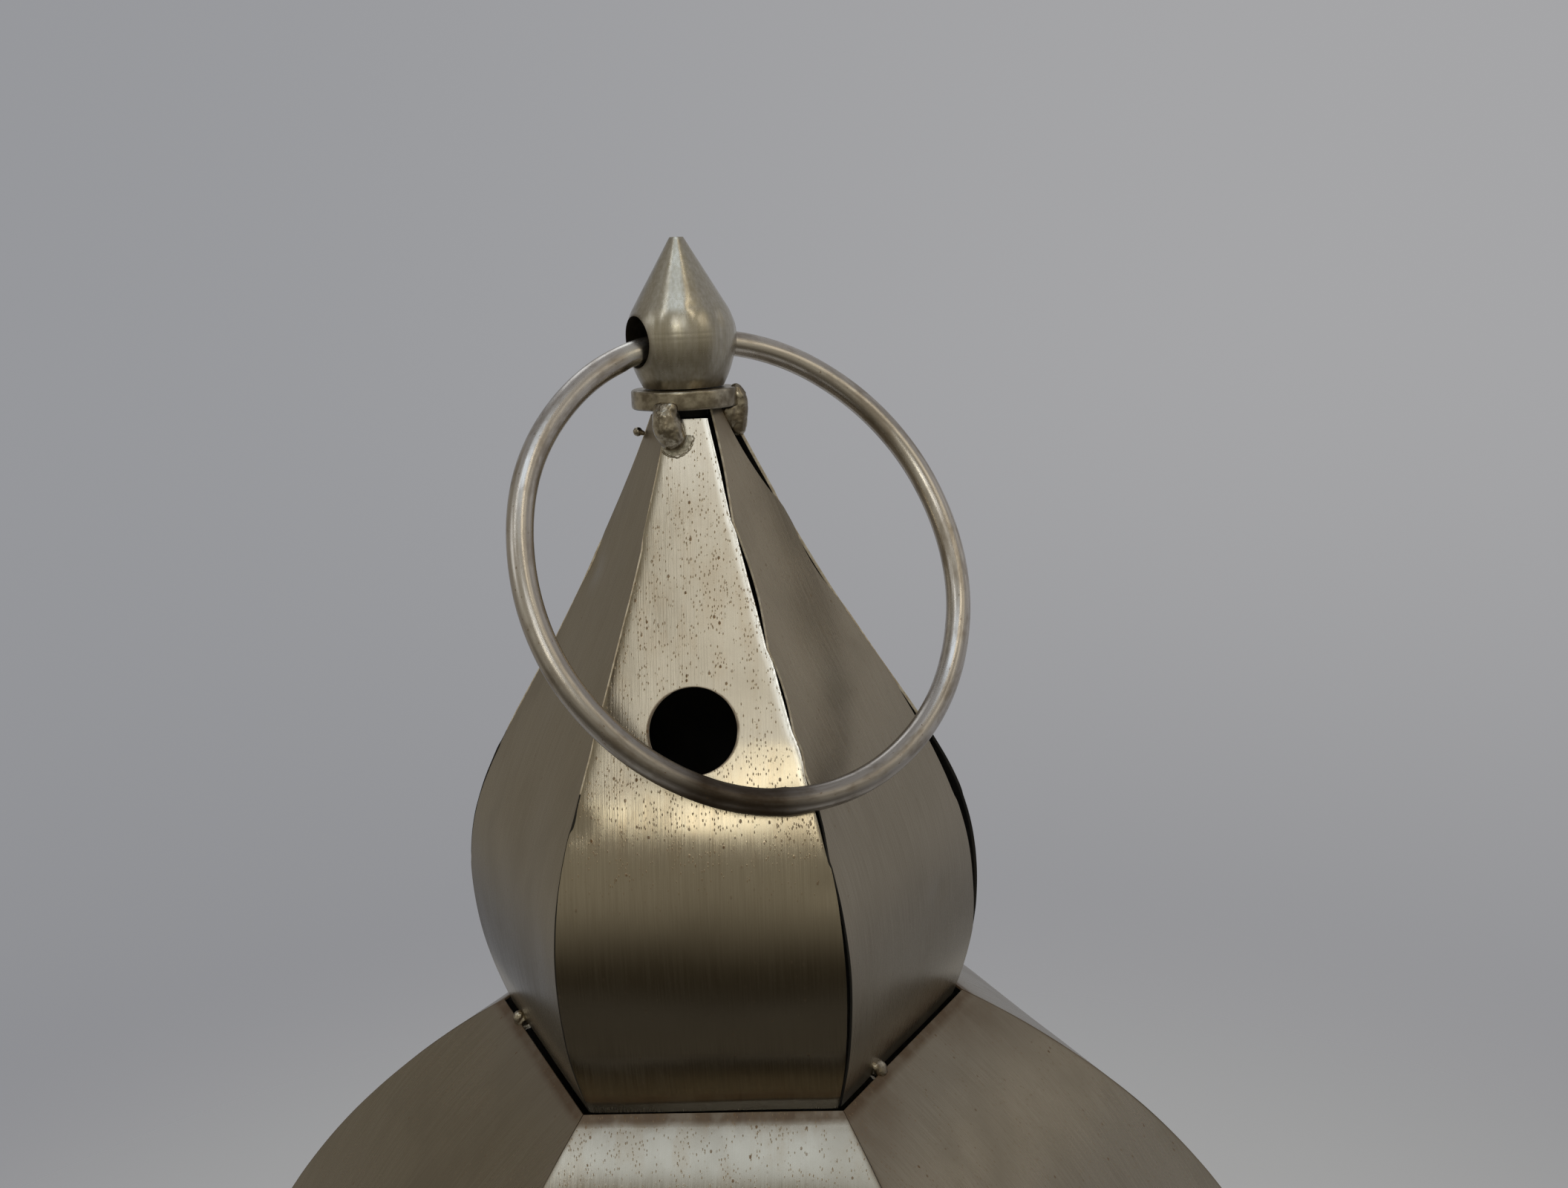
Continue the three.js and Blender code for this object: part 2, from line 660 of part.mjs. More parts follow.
// One barrel hinge: the post's barrel below, the door's barrel above, and a headed pin through both
function hinge(name, middle) {
  const bore = HINGE_PIN_R + HINGE_PIN_GAP;
  const onAxis = (points) => turned(points, SMALL_SEGMENTS).translate(hingeX, hingeY, 0);
  const barrel = (bottom) => {
    const top = bottom + HINGE_BARREL;
    return onAxis([[bore, bottom], [HINGE_R, bottom], [HINGE_R, top], [bore, top], [bore, bottom]]);
  };
  const bottom = middle - HINGE_BARREL_GAP / 2 - HINGE_BARREL;
  const upper = middle + HINGE_BARREL_GAP / 2;
  const head = upper + HINGE_BARREL + HINGE_BARREL_GAP;
  const pin = onAxis([
    [0, bottom],
    [HINGE_PIN_R, bottom],
    [HINGE_PIN_R, head],
    [HINGE_HEAD_R, head],
    [HINGE_HEAD_R, head + HINGE_HEAD],
    [0, head + HINGE_HEAD],
  ]);
  return [
    piece("hinge_" + name + "_post_barrel", barrel(bottom), "turned"),
    piece("hinge_" + name + "_door_barrel", barrel(upper), "turned"),
    piece("hinge_" + name + "_pin", pin, "rod"),
  ];
}

// A turned shape pointing out of the front side, its foot on the face at a distance from the middle
function frontTurned(points, x, distance, z) {
  return turned(points, SMALL_SEGMENTS).rotateX(Math.PI / 2).translate(x, -distance, z);
}

// Door knob: a foot, a neck and a flattened ball
function knob() {
  const neckEnd = SEAT_GAP + KNOB_FOOT + KNOB_NECK;
  const start = -Math.acos(KNOB_NECK_R / KNOB_R);
  const half = KNOB_THICK / (1 - Math.sin(start));
  const middle = neckEnd - half * Math.sin(start);
  const ball = new THREE.EllipseCurve(0, middle, KNOB_R, half, start, Math.PI / 2);
  const points = [
    [0, SEAT_GAP],
    [KNOB_FOOT_R, SEAT_GAP],
    [KNOB_NECK_R, SEAT_GAP + KNOB_FOOT],
    ...ball.getPoints(SMALL_SEGMENTS / 2).slice(0, -1).map((point) => [point.x, point.y]),
    [0, middle + half],
  ];
  const x = (doorRight + windowHalf) / 2;
  return frontTurned(points, x, doorFront, latchZ - KNOB_BELOW_LATCH);
}

// Turn button, hanging open from its rivet
const latchX = BODY_R / 2 - (POST_LEG - DOOR_LAP) / 2;
const latchZ = doorMiddle + LATCH_ABOVE_MIDDLE;
const latchBack = doorFront + SEAT_GAP;

// The button's plate, round at both ends, with an eye for the rivet
function latch() {
  const half = LATCH_WIDTH / 2;
  const outline = new THREE.Shape();
  outline.moveTo(-half, 0);
  outline.lineTo(-half, LATCH_WIDTH - LATCH_LENGTH);
  outline.absarc(0, LATCH_WIDTH - LATCH_LENGTH, half, Math.PI, 2 * Math.PI, false);
  outline.lineTo(half, 0);
  outline.absarc(0, 0, half, 0, Math.PI, false);
  const eye = new THREE.Path();
  eye.absarc(0, 0, LATCH_RIVET_R + SEAT_GAP, 0, 2 * Math.PI, true);
  outline.holes.push(eye);
  const options = { depth: LATCH_SHEET, bevelEnabled: false, curveSegments: SMALL_SEGMENTS / 2 };
  const plate = new THREE.ExtrudeGeometry(outline, options);
  return plate.rotateX(Math.PI / 2).translate(latchX, -latchBack, latchZ);
}

// Rivet with a spacer under the turn button and a domed head over it
function latchRivet() {
  const collarEnd = latchBack - SEAT_GAP - frontFace;
  const headStart = latchBack + LATCH_SHEET + SEAT_GAP - frontFace;
  const points = [
    [0, SEAT_GAP],
    [LATCH_RIVET_HEAD_R, SEAT_GAP],
    [LATCH_RIVET_HEAD_R, collarEnd],
    [LATCH_RIVET_R, collarEnd],
    [LATCH_RIVET_R, headStart],
    [LATCH_RIVET_HEAD_R, headStart],
    [LATCH_RIVET_HEAD_R * RIVET_DOME, headStart + LATCH_RIVET_HEAD],
    [0, headStart + LATCH_RIVET_HEAD],
  ];
  return frontTurned(points, latchX, frontFace, latchZ);
}

// Base plate, with a hole for the dish's rivet, and the flared skirt that it lies on
const rivetHole = DISH_RIVET_R + RIVET_HOLE_GAP;
const plateBottom = plateTop - BASE_SHEET;

function basePlate() {
  const hole = rivetHole / FLAT;
  return hexagonal([
    [hole, plateBottom],
    [plateR, plateBottom],
    [plateR, plateTop],
    [hole, plateTop],
    [hole, plateBottom],
  ]);
}

function baseSkirt() {
  const top = plateBottom - SEAT_GAP;
  const skirtR = plateR + SKIRT_FLARE;
  return hexagonal([
    [plateR - BASE_SHEET, top],
    [skirtR - BASE_SHEET, FOOT_STAND],
    [skirtR, FOOT_STAND],
    [plateR, top],
    [plateR - BASE_SHEET, top],
  ]);
}

// Turned feet under the plate, one inside each corner
function feet() {
  const top = plateBottom - SEAT_GAP;
  const profile = [
    [0, 0],
    [FOOT_FACE_R, 0],
    [FOOT_R, FOOT_STAND / 2],
    [FOOT_R, FOOT_STAND],
    [FOOT_NECK_R, FOOT_STAND + FOOT_R - FOOT_NECK_R],
    [FOOT_NECK_R, top - FOOT_NECK_R / 2],
    [FOOT_FACE_R, top],
    [0, top],
  ];
  const shape = turned(profile, SMALL_SEGMENTS).translate(BODY_R - FOOT_INSET, 0, 0);
  return Object.entries(CORNER_ANGLES).map(([corner, angle]) =>
    piece("foot_" + corner, shape.clone().rotateZ(rad(angle)), "turned"),
  );
}

// Candle dish with a flared rim and a low middle, riveted to the plate
const dishBottom = plateTop + SEAT_GAP;
const dishFloor = dishBottom + DISH_SHEET;

function candleDish() {
  const rim = dishBottom + DISH_HEIGHT;
  const wall = DISH_R - DISH_FLARE;
  const step = DISH_BOSS_R + DISH_STEP;
  const profile = [
    [rivetHole, dishBottom],
    [DISH_BOSS_R + DISH_SHEET, dishBottom],
    [step + DISH_SHEET, dishBottom + DISH_STEP],
    [wall, dishBottom + DISH_STEP],
    [DISH_R, rim],
    [DISH_R - DISH_SHEET, rim],
    [wall - DISH_SHEET, dishFloor + DISH_STEP],
    [step, dishFloor + DISH_STEP],
    [DISH_BOSS_R, dishFloor],
    [rivetHole, dishFloor],
    [rivetHole, dishBottom],
  ];
  return turned(profile, DISH_SEGMENTS);
}

// Rivet through dish and plate, domed inside the dish
function dishRivet() {
  const lower = plateBottom - SEAT_GAP;
  const upper = dishFloor + SEAT_GAP;
  return turned([
    [0, lower - DISH_RIVET_HEAD],
    [DISH_RIVET_HEAD_R, lower - DISH_RIVET_HEAD],
    [DISH_RIVET_HEAD_R, lower],
    [DISH_RIVET_R, lower],
    [DISH_RIVET_R, upper],
    [DISH_RIVET_HEAD_R, upper],
    [DISH_RIVET_HEAD_R * RIVET_DOME, upper + DISH_RIVET_HEAD],
    [0, upper + DISH_RIVET_HEAD],
  ]);
}

// A ball of weld metal stuck to the dome's left corner
function weldBead() {
  const { at } = domeFaceAt(domeTop - BEAD_BELOW_TOP);
  const ball = new THREE.SphereGeometry(BEAD_R, WELD_SEGMENTS, WELD_SEGMENTS / 2);
  return ball.translate(at.x / FLAT + BEAD_R + SEAT_GAP, 0, at.y).rotateZ(rad(CORNER_ANGLES.left));
}

// The whole lantern
const lantern = new THREE.Group();
const collar = collarGroup();
lantern.add(collar);
lantern.add(...lugs(collar));
lantern.add(piece("weld_bead", weldBead(), "weld"));
lantern.add(...domePanels());
lantern.add(...tacks());
lantern.add(...roofPanels());
lantern.add(piece("top_frame", topFrame(), "sheet"));
lantern.add(...posts());
lantern.add(...panes());
lantern.add(piece("door_frame", doorFrame(), "sheet"));
lantern.add(piece("door_glass", doorGlass(), "glass"));
lantern.add(...hinge("upper", doorMiddle + HINGE_SPACING / 2));
lantern.add(...hinge("lower", doorMiddle - HINGE_SPACING / 2));
lantern.add(piece("door_knob", knob(), "turned"));
lantern.add(piece("latch", latch(), "sheet"));
lantern.add(piece("latch_rivet", latchRivet(), "rod"));
lantern.add(piece("base_plate", basePlate(), "sheet"));
lantern.add(piece("base_skirt", baseSkirt(), "sheet"));
lantern.add(...feet());
lantern.add(piece("candle_dish", candleDish(), "sheet"));
lantern.add(piece("dish_rivet", dishRivet(), "rod"));

export default lantern;
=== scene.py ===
import json
import math

import bmesh
import bpy
import numpy as np
from mathutils import Matrix, Vector, noise


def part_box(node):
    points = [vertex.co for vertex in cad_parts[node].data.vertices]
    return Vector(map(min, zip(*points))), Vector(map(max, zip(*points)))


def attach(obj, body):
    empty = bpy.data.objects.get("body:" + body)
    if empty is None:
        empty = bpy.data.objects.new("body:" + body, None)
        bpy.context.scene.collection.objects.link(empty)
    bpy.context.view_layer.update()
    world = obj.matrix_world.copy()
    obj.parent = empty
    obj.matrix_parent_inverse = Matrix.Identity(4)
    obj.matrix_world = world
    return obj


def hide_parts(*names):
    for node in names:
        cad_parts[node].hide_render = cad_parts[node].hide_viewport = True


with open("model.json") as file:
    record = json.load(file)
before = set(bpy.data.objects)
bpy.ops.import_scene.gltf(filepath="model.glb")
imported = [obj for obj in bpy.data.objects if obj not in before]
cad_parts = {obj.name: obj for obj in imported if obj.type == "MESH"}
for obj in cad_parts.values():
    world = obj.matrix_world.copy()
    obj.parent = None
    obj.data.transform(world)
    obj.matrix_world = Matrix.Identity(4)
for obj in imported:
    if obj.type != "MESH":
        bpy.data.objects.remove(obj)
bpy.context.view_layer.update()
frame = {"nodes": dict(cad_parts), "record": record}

MM = 0.001
NODES = frame["nodes"]
BODIES = frame["record"]["behaviour"]["bodies"]
BODY_OF = {node: body for body, members in BODIES.items() for node in members}
SLOT_OF = {row["node"]: row["material_slot"] for row in frame["record"]["subparts"]}

# Sizes in millimetres, as in the part's source
FLAT = math.cos(math.pi / 6)
FLARE = math.tan(math.pi / 6)
PANEL_SHEET = 1.0
ROOF_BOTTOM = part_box("roof_panel_front")[0].z / MM
DOME_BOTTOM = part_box("dome_panel_front")[0].z / MM
DOME_HEIGHT = 155.3
DOME_TOP = DOME_BOTTOM + DOME_HEIGHT
COLLAR_RISE = 6.0
COLLAR_TOP = DOME_TOP + COLLAR_RISE
VENT_R = 10.0
VENT_DROP = 65.4
VENT_HEIGHT = DOME_TOP - VENT_DROP

# Sides and the directions they face, in degrees, and the corners between them
SIDES = {
    "front": -90, "front_right": -30, "rear_right": 30,
    "rear": 90, "rear_left": 150, "front_left": 210,
}
VENTED = ("front", "rear_right", "rear_left")
CORNERS = ("front_right", "right", "rear_right", "rear_left", "left", "front_left")
FIRST_CORNER = -60

# Camera: the photograph's viewing angle
CAMERA_AT = Vector((43.3, -370.0, 641.0)) * MM
CAMERA_YAW = math.radians(-3.66)
CAMERA_PITCH = math.radians(16.22)
CAMERA_ROLL = math.radians(-3.08)
CAMERA_LENS = 36.46
CAMERA_NEAR = 0.01
SENSOR = 36.0


def linked(name, data):
    obj = bpy.data.objects.new(name, data)
    bpy.context.scene.collection.objects.link(obj)
    return obj


def make_camera():
    level = Vector((math.sin(CAMERA_YAW), math.cos(CAMERA_YAW), 0))
    sideways = Vector((math.cos(CAMERA_YAW), -math.sin(CAMERA_YAW), 0))
    upright = Vector((0, 0, 1))
    ahead = level * math.cos(CAMERA_PITCH) - upright * math.sin(CAMERA_PITCH)
    above = upright * math.cos(CAMERA_PITCH) + level * math.sin(CAMERA_PITCH)
    right = sideways * math.cos(CAMERA_ROLL) + above * math.sin(CAMERA_ROLL)
    top = above * math.cos(CAMERA_ROLL) - sideways * math.sin(CAMERA_ROLL)
    data = bpy.data.cameras.new("camera")
    data.sensor_fit = "HORIZONTAL"
    data.sensor_width = SENSOR
    data.lens = CAMERA_LENS
    data.clip_start = CAMERA_NEAR
    camera = linked("camera", data)
    turn = Matrix((right, top, -ahead)).transposed().to_4x4()
    camera.matrix_world = Matrix.Translation(CAMERA_AT) @ turn
    bpy.context.scene.camera = camera


make_camera()

# Shader nodes
SOCKETS = {
    "color": "Base Color",
    "metallic": "Metallic",
    "rough": "Roughness",
    "normal": "Normal",
    "anisotropic": "Anisotropic",
    "turn": "Anisotropic Rotation",
    "transmission": "Transmission Weight",
    "ior": "IOR",
}


class Shader:
    """A material's or the world's nodes, with short calls for the few kinds used here."""

    def __init__(self, owner):
        owner.use_nodes = True
        self.owner = owner
        self.tree = owner.node_tree

    def put(self, socket, value):
        if hasattr(value, "is_output"):
            self.tree.links.new(value, socket)
        else:
            socket.default_value = value

    def add(self, kind, inputs, output=0, **settings):
        """Adds a node with its settings and what goes into it, and gives one of its outputs."""
        node = self.tree.nodes.new("ShaderNode" + kind)
        for name, value in settings.items():
            setattr(node, name, value)
        for name, value in inputs.items():
            self.put(node.inputs[name], value)
        return node.outputs[output]

    def place(self, name):
        """A mesh's own coordinates, in metres."""
        return self.add("Attribute", {}, "Vector", attribute_name=name)

    def mark(self, name):
        """A mesh's own share of rust, stain and the like."""
        return self.add("Attribute", {}, "Fac", attribute_name=name)

    def scaled(self, vector, factors):
        return self.add("VectorMath", {0: vector, 1: factors}, operation="MULTIPLY")

    def length(self, vector):
        return self.add("VectorMath", {0: vector}, "Value", operation="LENGTH")

    def part(self, vector, axis):
        return self.add("SeparateXYZ", {0: vector}, axis)

    def noise(self, vector, scale, detail=3.0, rough=0.6, distortion=0.0):
        inputs = {"Vector": self.scaled(vector, scale), "Scale": 1.0}
        inputs.update({"Detail": detail, "Roughness": rough, "Distortion": distortion})
        return self.add("TexNoise", inputs, "Fac")

    def dots(self, vector, scale):
        """The way to the nearest of many scattered points, and a chance for each point."""
        away = self.add("TexVoronoi", {"Vector": self.scaled(vector, scale), "Scale": 1.0}, "Distance")
        return away, self.part(away.node.outputs["Color"], "X")

    def ramp(self, value, low, high, start=0.0, end=1.0):
        inputs = {"Value": value, "From Min": low, "From Max": high, "To Min": start, "To Max": end}
        return self.add("MapRange", inputs, "Result", interpolation_type="SMOOTHSTEP")

    def math(self, operation, first, second=0.0):
        return self.add("Math", {0: first, 1: second}, operation=operation)

    def times(self, first, second):
        return self.math("MULTIPLY", first, second)

    def plus(self, first, second):
        return self.math("ADD", first, second)

    def minus(self, first, second):
        return self.math("SUBTRACT", first, second)

    def most(self, first, second):
        return self.math("MAXIMUM", first, second)

    def mix(self, share, first, second):
        return self.add("Mix", {"Factor": share, 6: first, 7: second}, 2, data_type="RGBA")

    def bump(self, height, strength, distance, under=None):
        inputs = {"Strength": strength, "Distance": distance, "Height": height}
        if under is not None:
            inputs["Normal"] = under
        return self.add("Bump", inputs, "Normal")

    def set(self, **values):
        """Sets the surface's sockets, and gives the material."""
        for name, value in values.items():
            self.put(self.tree.nodes["Principled BSDF"].inputs[SOCKETS[name]], value)
        return self.owner


def new_shader(name):
    return Shader(bpy.data.materials.new(name))


STEEL = (0.285, 0.243, 0.180, 1)
STEEL_BRIGHT = (0.375, 0.331, 0.256, 1)
TARNISH = (0.215, 0.180, 0.130, 1)
# Painted shade with some brown patina: the dark brown laid on the dome's lower panels, also used to
# darken the roof's other panels.
PATINA_AND_SHADE = (0.080, 0.064, 0.042, 1)
# Bright metal: real polish where the ring rubs in the hole, and the front panel's painted highlight.
POLISH_AND_HIGHLIGHT = (0.66, 0.63, 0.56, 1)
RUST = (0.150, 0.085, 0.036, 1)
RUST_FLECK = (0.230, 0.158, 0.086, 1)
# Dark brown of the edge stains; along the roof's top edge it also paints the shade under the dome.
EDGE_RUST_AND_SHADE = (0.090, 0.048, 0.019, 1)
# The brown line round the vent, measured from the cut, in metres
RIM_FULL = 0.0002
RIM_END = 0.0008


def sheet_material():
    """Bare sheet: brushed along its length, brown oxide clouds, rust specks, stained edges, painted
    shade on the dome's lower panels and a painted highlight on the front panel.
    """
    s = new_shader("bare_sheet")
    place = s.place("sheet")
    grain = s.noise(place, (3200, 60, 3))
    cloud = s.noise(place, (38, 26, 3), 4.0, 0.6, 0.4)
    blot = s.noise(place, (150, 105, 3), 4.0, 0.65)
    column = s.noise(place, (260, 34, 3), 2.0, 0.5)
    speck_from, speck_chance = s.dots(place, (2100, 850, 3))
    spot_from, spot_chance = s.dots(place, (780, 520, 3))
    color = s.mix(s.ramp(grain, 0.3, 0.7, 0.25, 0.75), STEEL, STEEL_BRIGHT)
    color = s.mix(s.ramp(cloud, 0.42, 0.72, 0.0, 0.32), color, TARNISH)
    # Painted shade: the dome's lower panels turn dark brown by the darkening mark.
    color = s.mix(s.mark("darkening"), color, PATINA_AND_SHADE)
    # Painted highlight along the front panel's right edge and at its top.
    color = s.mix(s.mark("wear_and_highlight"), color, POLISH_AND_HIGHLIGHT)
    edge = s.times(s.mark("stain"), s.ramp(blot, 0.32, 0.62, 0.65, 1.0))
    from_rim = s.math("ABSOLUTE", s.minus(s.length(s.place("rim")), VENT_R * MM))
    rim = s.ramp(from_rim, RIM_FULL, RIM_END, 1.0, 0.0)
    edge = s.most(edge, s.times(rim, s.ramp(blot, 0.32, 0.62, 0.4, 0.9)))
    # Edge stains, laid on strongly along the roof's top edge, where they also paint the shade under the
    # dome.
    color = s.mix(s.times(edge, 0.9), color, EDGE_RUST_AND_SHADE)
    patches = s.plus(s.ramp(blot, 0.38, 0.62, 0.1, 0.5), s.ramp(column, 0.38, 0.6, 0.1, 0.5))
    reach = s.times(s.mark("rust"), patches)
    small_left = s.ramp(s.minus(reach, speck_chance), -0.05, 0.3)
    large_left = s.ramp(s.minus(s.times(reach, 0.2), spot_chance), -0.05, 0.1)
    small = s.times(small_left, s.ramp(speck_from, 0.16, 0.34, 0.85, 0.0))
    large = s.times(large_left, s.ramp(spot_from, 0.14, 0.28, 1.0, 0.0))
    specks = s.most(small, large)
    color = s.mix(s.ramp(reach, 0.35, 1.0, 0.0, 0.2), color, RUST_FLECK)
    color = s.mix(small, color, RUST_FLECK)
    color = s.mix(large, color, RUST)
    marks = s.most(s.times(specks, 0.5), s.times(edge, 0.85))
    rough = s.ramp(grain, 0.3, 0.7, 0.23, 0.29)
    rough = s.minus(rough, s.times(s.mark("polish"), 0.10))
    rough = s.plus(rough, s.times(s.ramp(cloud, 0.4, 0.75), 0.05))
    rough = s.plus(rough, s.times(marks, 0.4))
    normal = s.bump(specks, 0.2, 0.00012, s.bump(grain, 0.07, 0.0002))
    return s.set(color=color, metallic=s.minus(1.0, marks), rough=rough, normal=normal)


def cut_material():
    """The sheet's cut edges: bare, bright and rough from the shears."""
    s = new_shader("cut_edge")
    fine = s.noise(s.place("sheet"), (900, 500, 3))
    color = s.mix(s.ramp(fine, 0.35, 0.65), (0.62, 0.52, 0.38, 1), (0.88, 0.79, 0.63, 1))
    return s.set(color=color, metallic=0.0, rough=0.45, normal=s.bump(fine, 0.2, 0.0002))


def soot_and_shade_material():
    """The insides of dome and roof, blackened by candle smoke; the same black is painted shade under the
    finial and the washer.
    """
    s = new_shader("soot_and_shade")
    cloud = s.noise(s.place("sheet"), (60, 40, 3), 4.0)
    color = s.mix(s.ramp(cloud, 0.35, 0.7), (0.010, 0.009, 0.008, 1), (0.028, 0.024, 0.019, 1))
    return s.set(color=color, metallic=0.0, rough=s.ramp(cloud, 0.3, 0.7, 0.75, 0.95))


def turned_material():
    """Lathe-turned steel: faint rings round the axis, polishing streaks along it, light oxide clouds,
    and brown where marked, which low on the finial is painted shade.
    """
    s = new_shader("turned_metal")
    place = s.place("turn")
    stain = s.mark("stain")
    rings = s.noise(place, (14, 14, 4200), 3.0, 0.7)
    streaks = s.noise(place, (1500, 1500, 45))
    cloud = s.noise(place, (170, 170, 140), 4.0, 0.62)
    color = s.mix(s.ramp(streaks, 0.3, 0.7), (0.412, 0.375, 0.292, 1), (0.505, 0.468, 0.392, 1))
    color = s.mix(s.ramp(rings, 0.5, 0.75, 0.0, 0.35), color, (0.33, 0.288, 0.225, 1))
    color = s.mix(s.ramp(cloud, 0.48, 0.74, 0.0, 0.45), color, (0.25, 0.215, 0.16, 1))
    # Brown by the stain mark: painted shade low on the finial, stains elsewhere.
    brown = s.times(stain, s.ramp(cloud, 0.3, 0.6, 0.6, 1.0))
    color = s.mix(brown, color, (0.105, 0.080, 0.050, 1))
    rough = s.plus(s.ramp(cloud, 0.3, 0.7, 0.24, 0.32), s.times(stain, 0.12))
    normal = s.bump(rings, 0.05, 0.0001, s.bump(streaks, 0.06, 0.0001))
    s.set(anisotropic=0.65, turn=0.25)
    return s.set(color=color, metallic=1.0, rough=rough, normal=normal)


def rod_material():
    """Drawn rod: marks along its length, brown where it was welded and, spread wide beside the weld,
    painted shade on the ring's lower side.
    """
    s = new_shader("drawn_rod")
    place = s.place("rod")
    stain = s.mark("stain")
    lines = s.noise(place, (45, 1000, 1000))
    cloud = s.noise(place, (110, 260, 260), 4.0, 0.65)
    pits = s.noise(place, (1000, 1700, 1700), 1.0, 0.5)
    color = s.mix(s.ramp(lines, 0.3, 0.7), (0.455, 0.412, 0.362, 1), (0.610, 0.568, 0.518, 1))
    color = s.mix(s.ramp(cloud, 0.46, 0.72, 0.0, 0.6), color, (0.235, 0.185, 0.13, 1))
    # Brown by the stain mark: the weld's burn stain, spread wide as painted shade on the ring's lower
    # side.
    brown = s.times(stain, s.ramp(cloud, 0.25, 0.6, 0.92, 1.0))
    color = s.mix(brown, color, (0.036, 0.022, 0.011, 1))
    color = s.mix(s.times(s.ramp(pits, 0.72, 0.77), 0.6), color, RUST)
    color = s.mix(s.mark("wear_and_highlight"), color, POLISH_AND_HIGHLIGHT)
    rough = s.plus(s.ramp(cloud, 0.3, 0.7, 0.23, 0.31), s.times(stain, 0.15))
    return s.set(color=color, metallic=1.0, rough=rough, normal=s.bump(lines, 0.08, 0.0001))


def weld_material():
    """Weld metal: brown-grey, run smooth, with darker smudges."""
    s = new_shader("weld_metal")
    place = s.place("sheet")
    coarse = s.noise(place, (330, 330, 330), 4.0)
    fine = s.noise(place, (1300, 1300, 1300))
    color = s.mix(s.ramp(coarse, 0.36, 0.66), (0.230, 0.192, 0.138, 1), (0.500, 0.452, 0.360, 1))
    color = s.mix(s.ramp(fine, 0.60, 0.74, 0.0, 0.5), color, (0.085, 0.066, 0.045, 1))
    rough = s.ramp(coarse, 0.3, 0.7, 0.34, 0.18)
    return s.set(color=color, metallic=1.0, rough=rough, normal=s.bump(fine, 0.10, 0.0002))


def flux_material():
    """Dried flux round the welds: pale, dull and crusty."""
    s = new_shader("flux_crust")
    fine = s.noise(s.place("sheet"), (1600, 1600, 1600))
    color = s.mix(s.ramp(fine, 0.38, 0.62), (0.42, 0.39, 0.30, 1), (0.74, 0.69, 0.57, 1))
    return s.set(color=color, metallic=0.0, rough=0.7, normal=s.bump(fine, 0.4, 0.0002))


def plate_material():
    """The washer: thick plate, brown from the welder's heat."""
    s = new_shader("heated_plate")
    place = s.place("sheet")
    cloud = s.noise(place, (260, 260, 300), 4.0, 0.62)
    fine = s.noise(place, (1200, 1200, 500))
    color = s.mix(s.ramp(cloud, 0.34, 0.68), (0.200, 0.166, 0.116, 1), (0.470, 0.418, 0.322, 1))
    rough = s.ramp(cloud, 0.3, 0.7, 0.38, 0.26)
    return s.set(color=color, metallic=1.0, rough=rough, normal=s.bump(fine, 0.08, 0.0002))


def glass_material():
    """Window glass with a little dust."""
    s = new_shader("window_glass")
    dust = s.noise(s.place("sheet"), (30, 30, 22), 5.0, 0.7)
    rough = s.ramp(dust, 0.45, 0.8, 0.0, 0.10)
    color = s.mix(s.ramp(dust, 0.4, 0.8), (0.97, 0.985, 0.98, 1), (0.90, 0.915, 0.89, 1))
    return s.set(color=color, metallic=0.0, rough=rough, transmission=1.0, ior=1.5)


MATERIALS = {
    "sheet_steel": sheet_material(),
    "turned_steel": turned_material(),
    "steel_rod": rod_material(),
    "weld_metal": weld_material(),
    "clear_glass": glass_material(),
}
SOOT_AND_SHADE = soot_and_shade_material()
CUT = cut_material()
FLUX = flux_material()
PLATE = plate_material()


# Mesh helpers
def new_object(name, verts, faces):
    """An object from points in millimetres."""
    mesh = bpy.data.meshes.new(name)
    mesh.from_pydata([tuple(Vector(v) * MM) for v in verts], [], faces)
    mesh.update()
    return linked(name, mesh)


def settle(obj):
    """Applies the modifiers of obj to its mesh."""
    bpy.context.view_layer.update()
    graph = bpy.context.evaluated_depsgraph_get()
    mesh = bpy.data.meshes.new_from_object(obj.evaluated_get(graph))
    obj.modifiers.clear()
    obj.data = mesh
    mesh.name = obj.name


def bevel(obj, width, segments=2, angle=35, flat=False):
    modifier = obj.modifiers.new("edges", "BEVEL")
    modifier.harden_normals = flat
    modifier.width = width * MM
    modifier.segments = segments
    modifier.limit_method = "ANGLE"
    modifier.angle_limit = math.radians(angle)
    modifier.use_clamp_overlap = True
    settle(obj)


def shade(obj, angle=40):
    for polygon in obj.data.polygons:
        polygon.use_smooth = True
    obj.data.set_sharp_from_angle(angle=math.radians(angle))


def points_of(obj):
    flat = np.zeros(len(obj.data.vertices) * 3, np.float32)
    obj.data.vertices.foreach_get("co", flat)
    return flat.reshape(-1, 3).astype(float)


def move_points(obj, points):
    obj.data.vertices.foreach_set("co", np.asarray(points, np.float32).ravel())
    obj.data.update()


def write(obj, name, values):
    """Stores a number or a vector for each point; a single number goes to all of them."""
    values = np.asarray(values, np.float32)
    if values.ndim == 0:
        values = np.full(len(obj.data.vertices), values)
    kind, field = ("FLOAT_VECTOR", "vector") if values.ndim == 2 else ("FLOAT", "value")
    attribute = obj.data.attributes.new(name, kind, "POINT")
    attribute.data.foreach_set(field, values.ravel())


def remade(source, target, work):
    """Fills the mesh target with the mesh source after some work on it."""
    made = bmesh.new()
    made.from_mesh(source)
    work(made)
    made.to_mesh(target)
    made.free()


def outward(obj):
    """Turns every face of a closed mesh to face out."""
    remade(obj.data, obj.data, lambda made: bmesh.ops.recalc_face_normals(made, faces=made.faces))


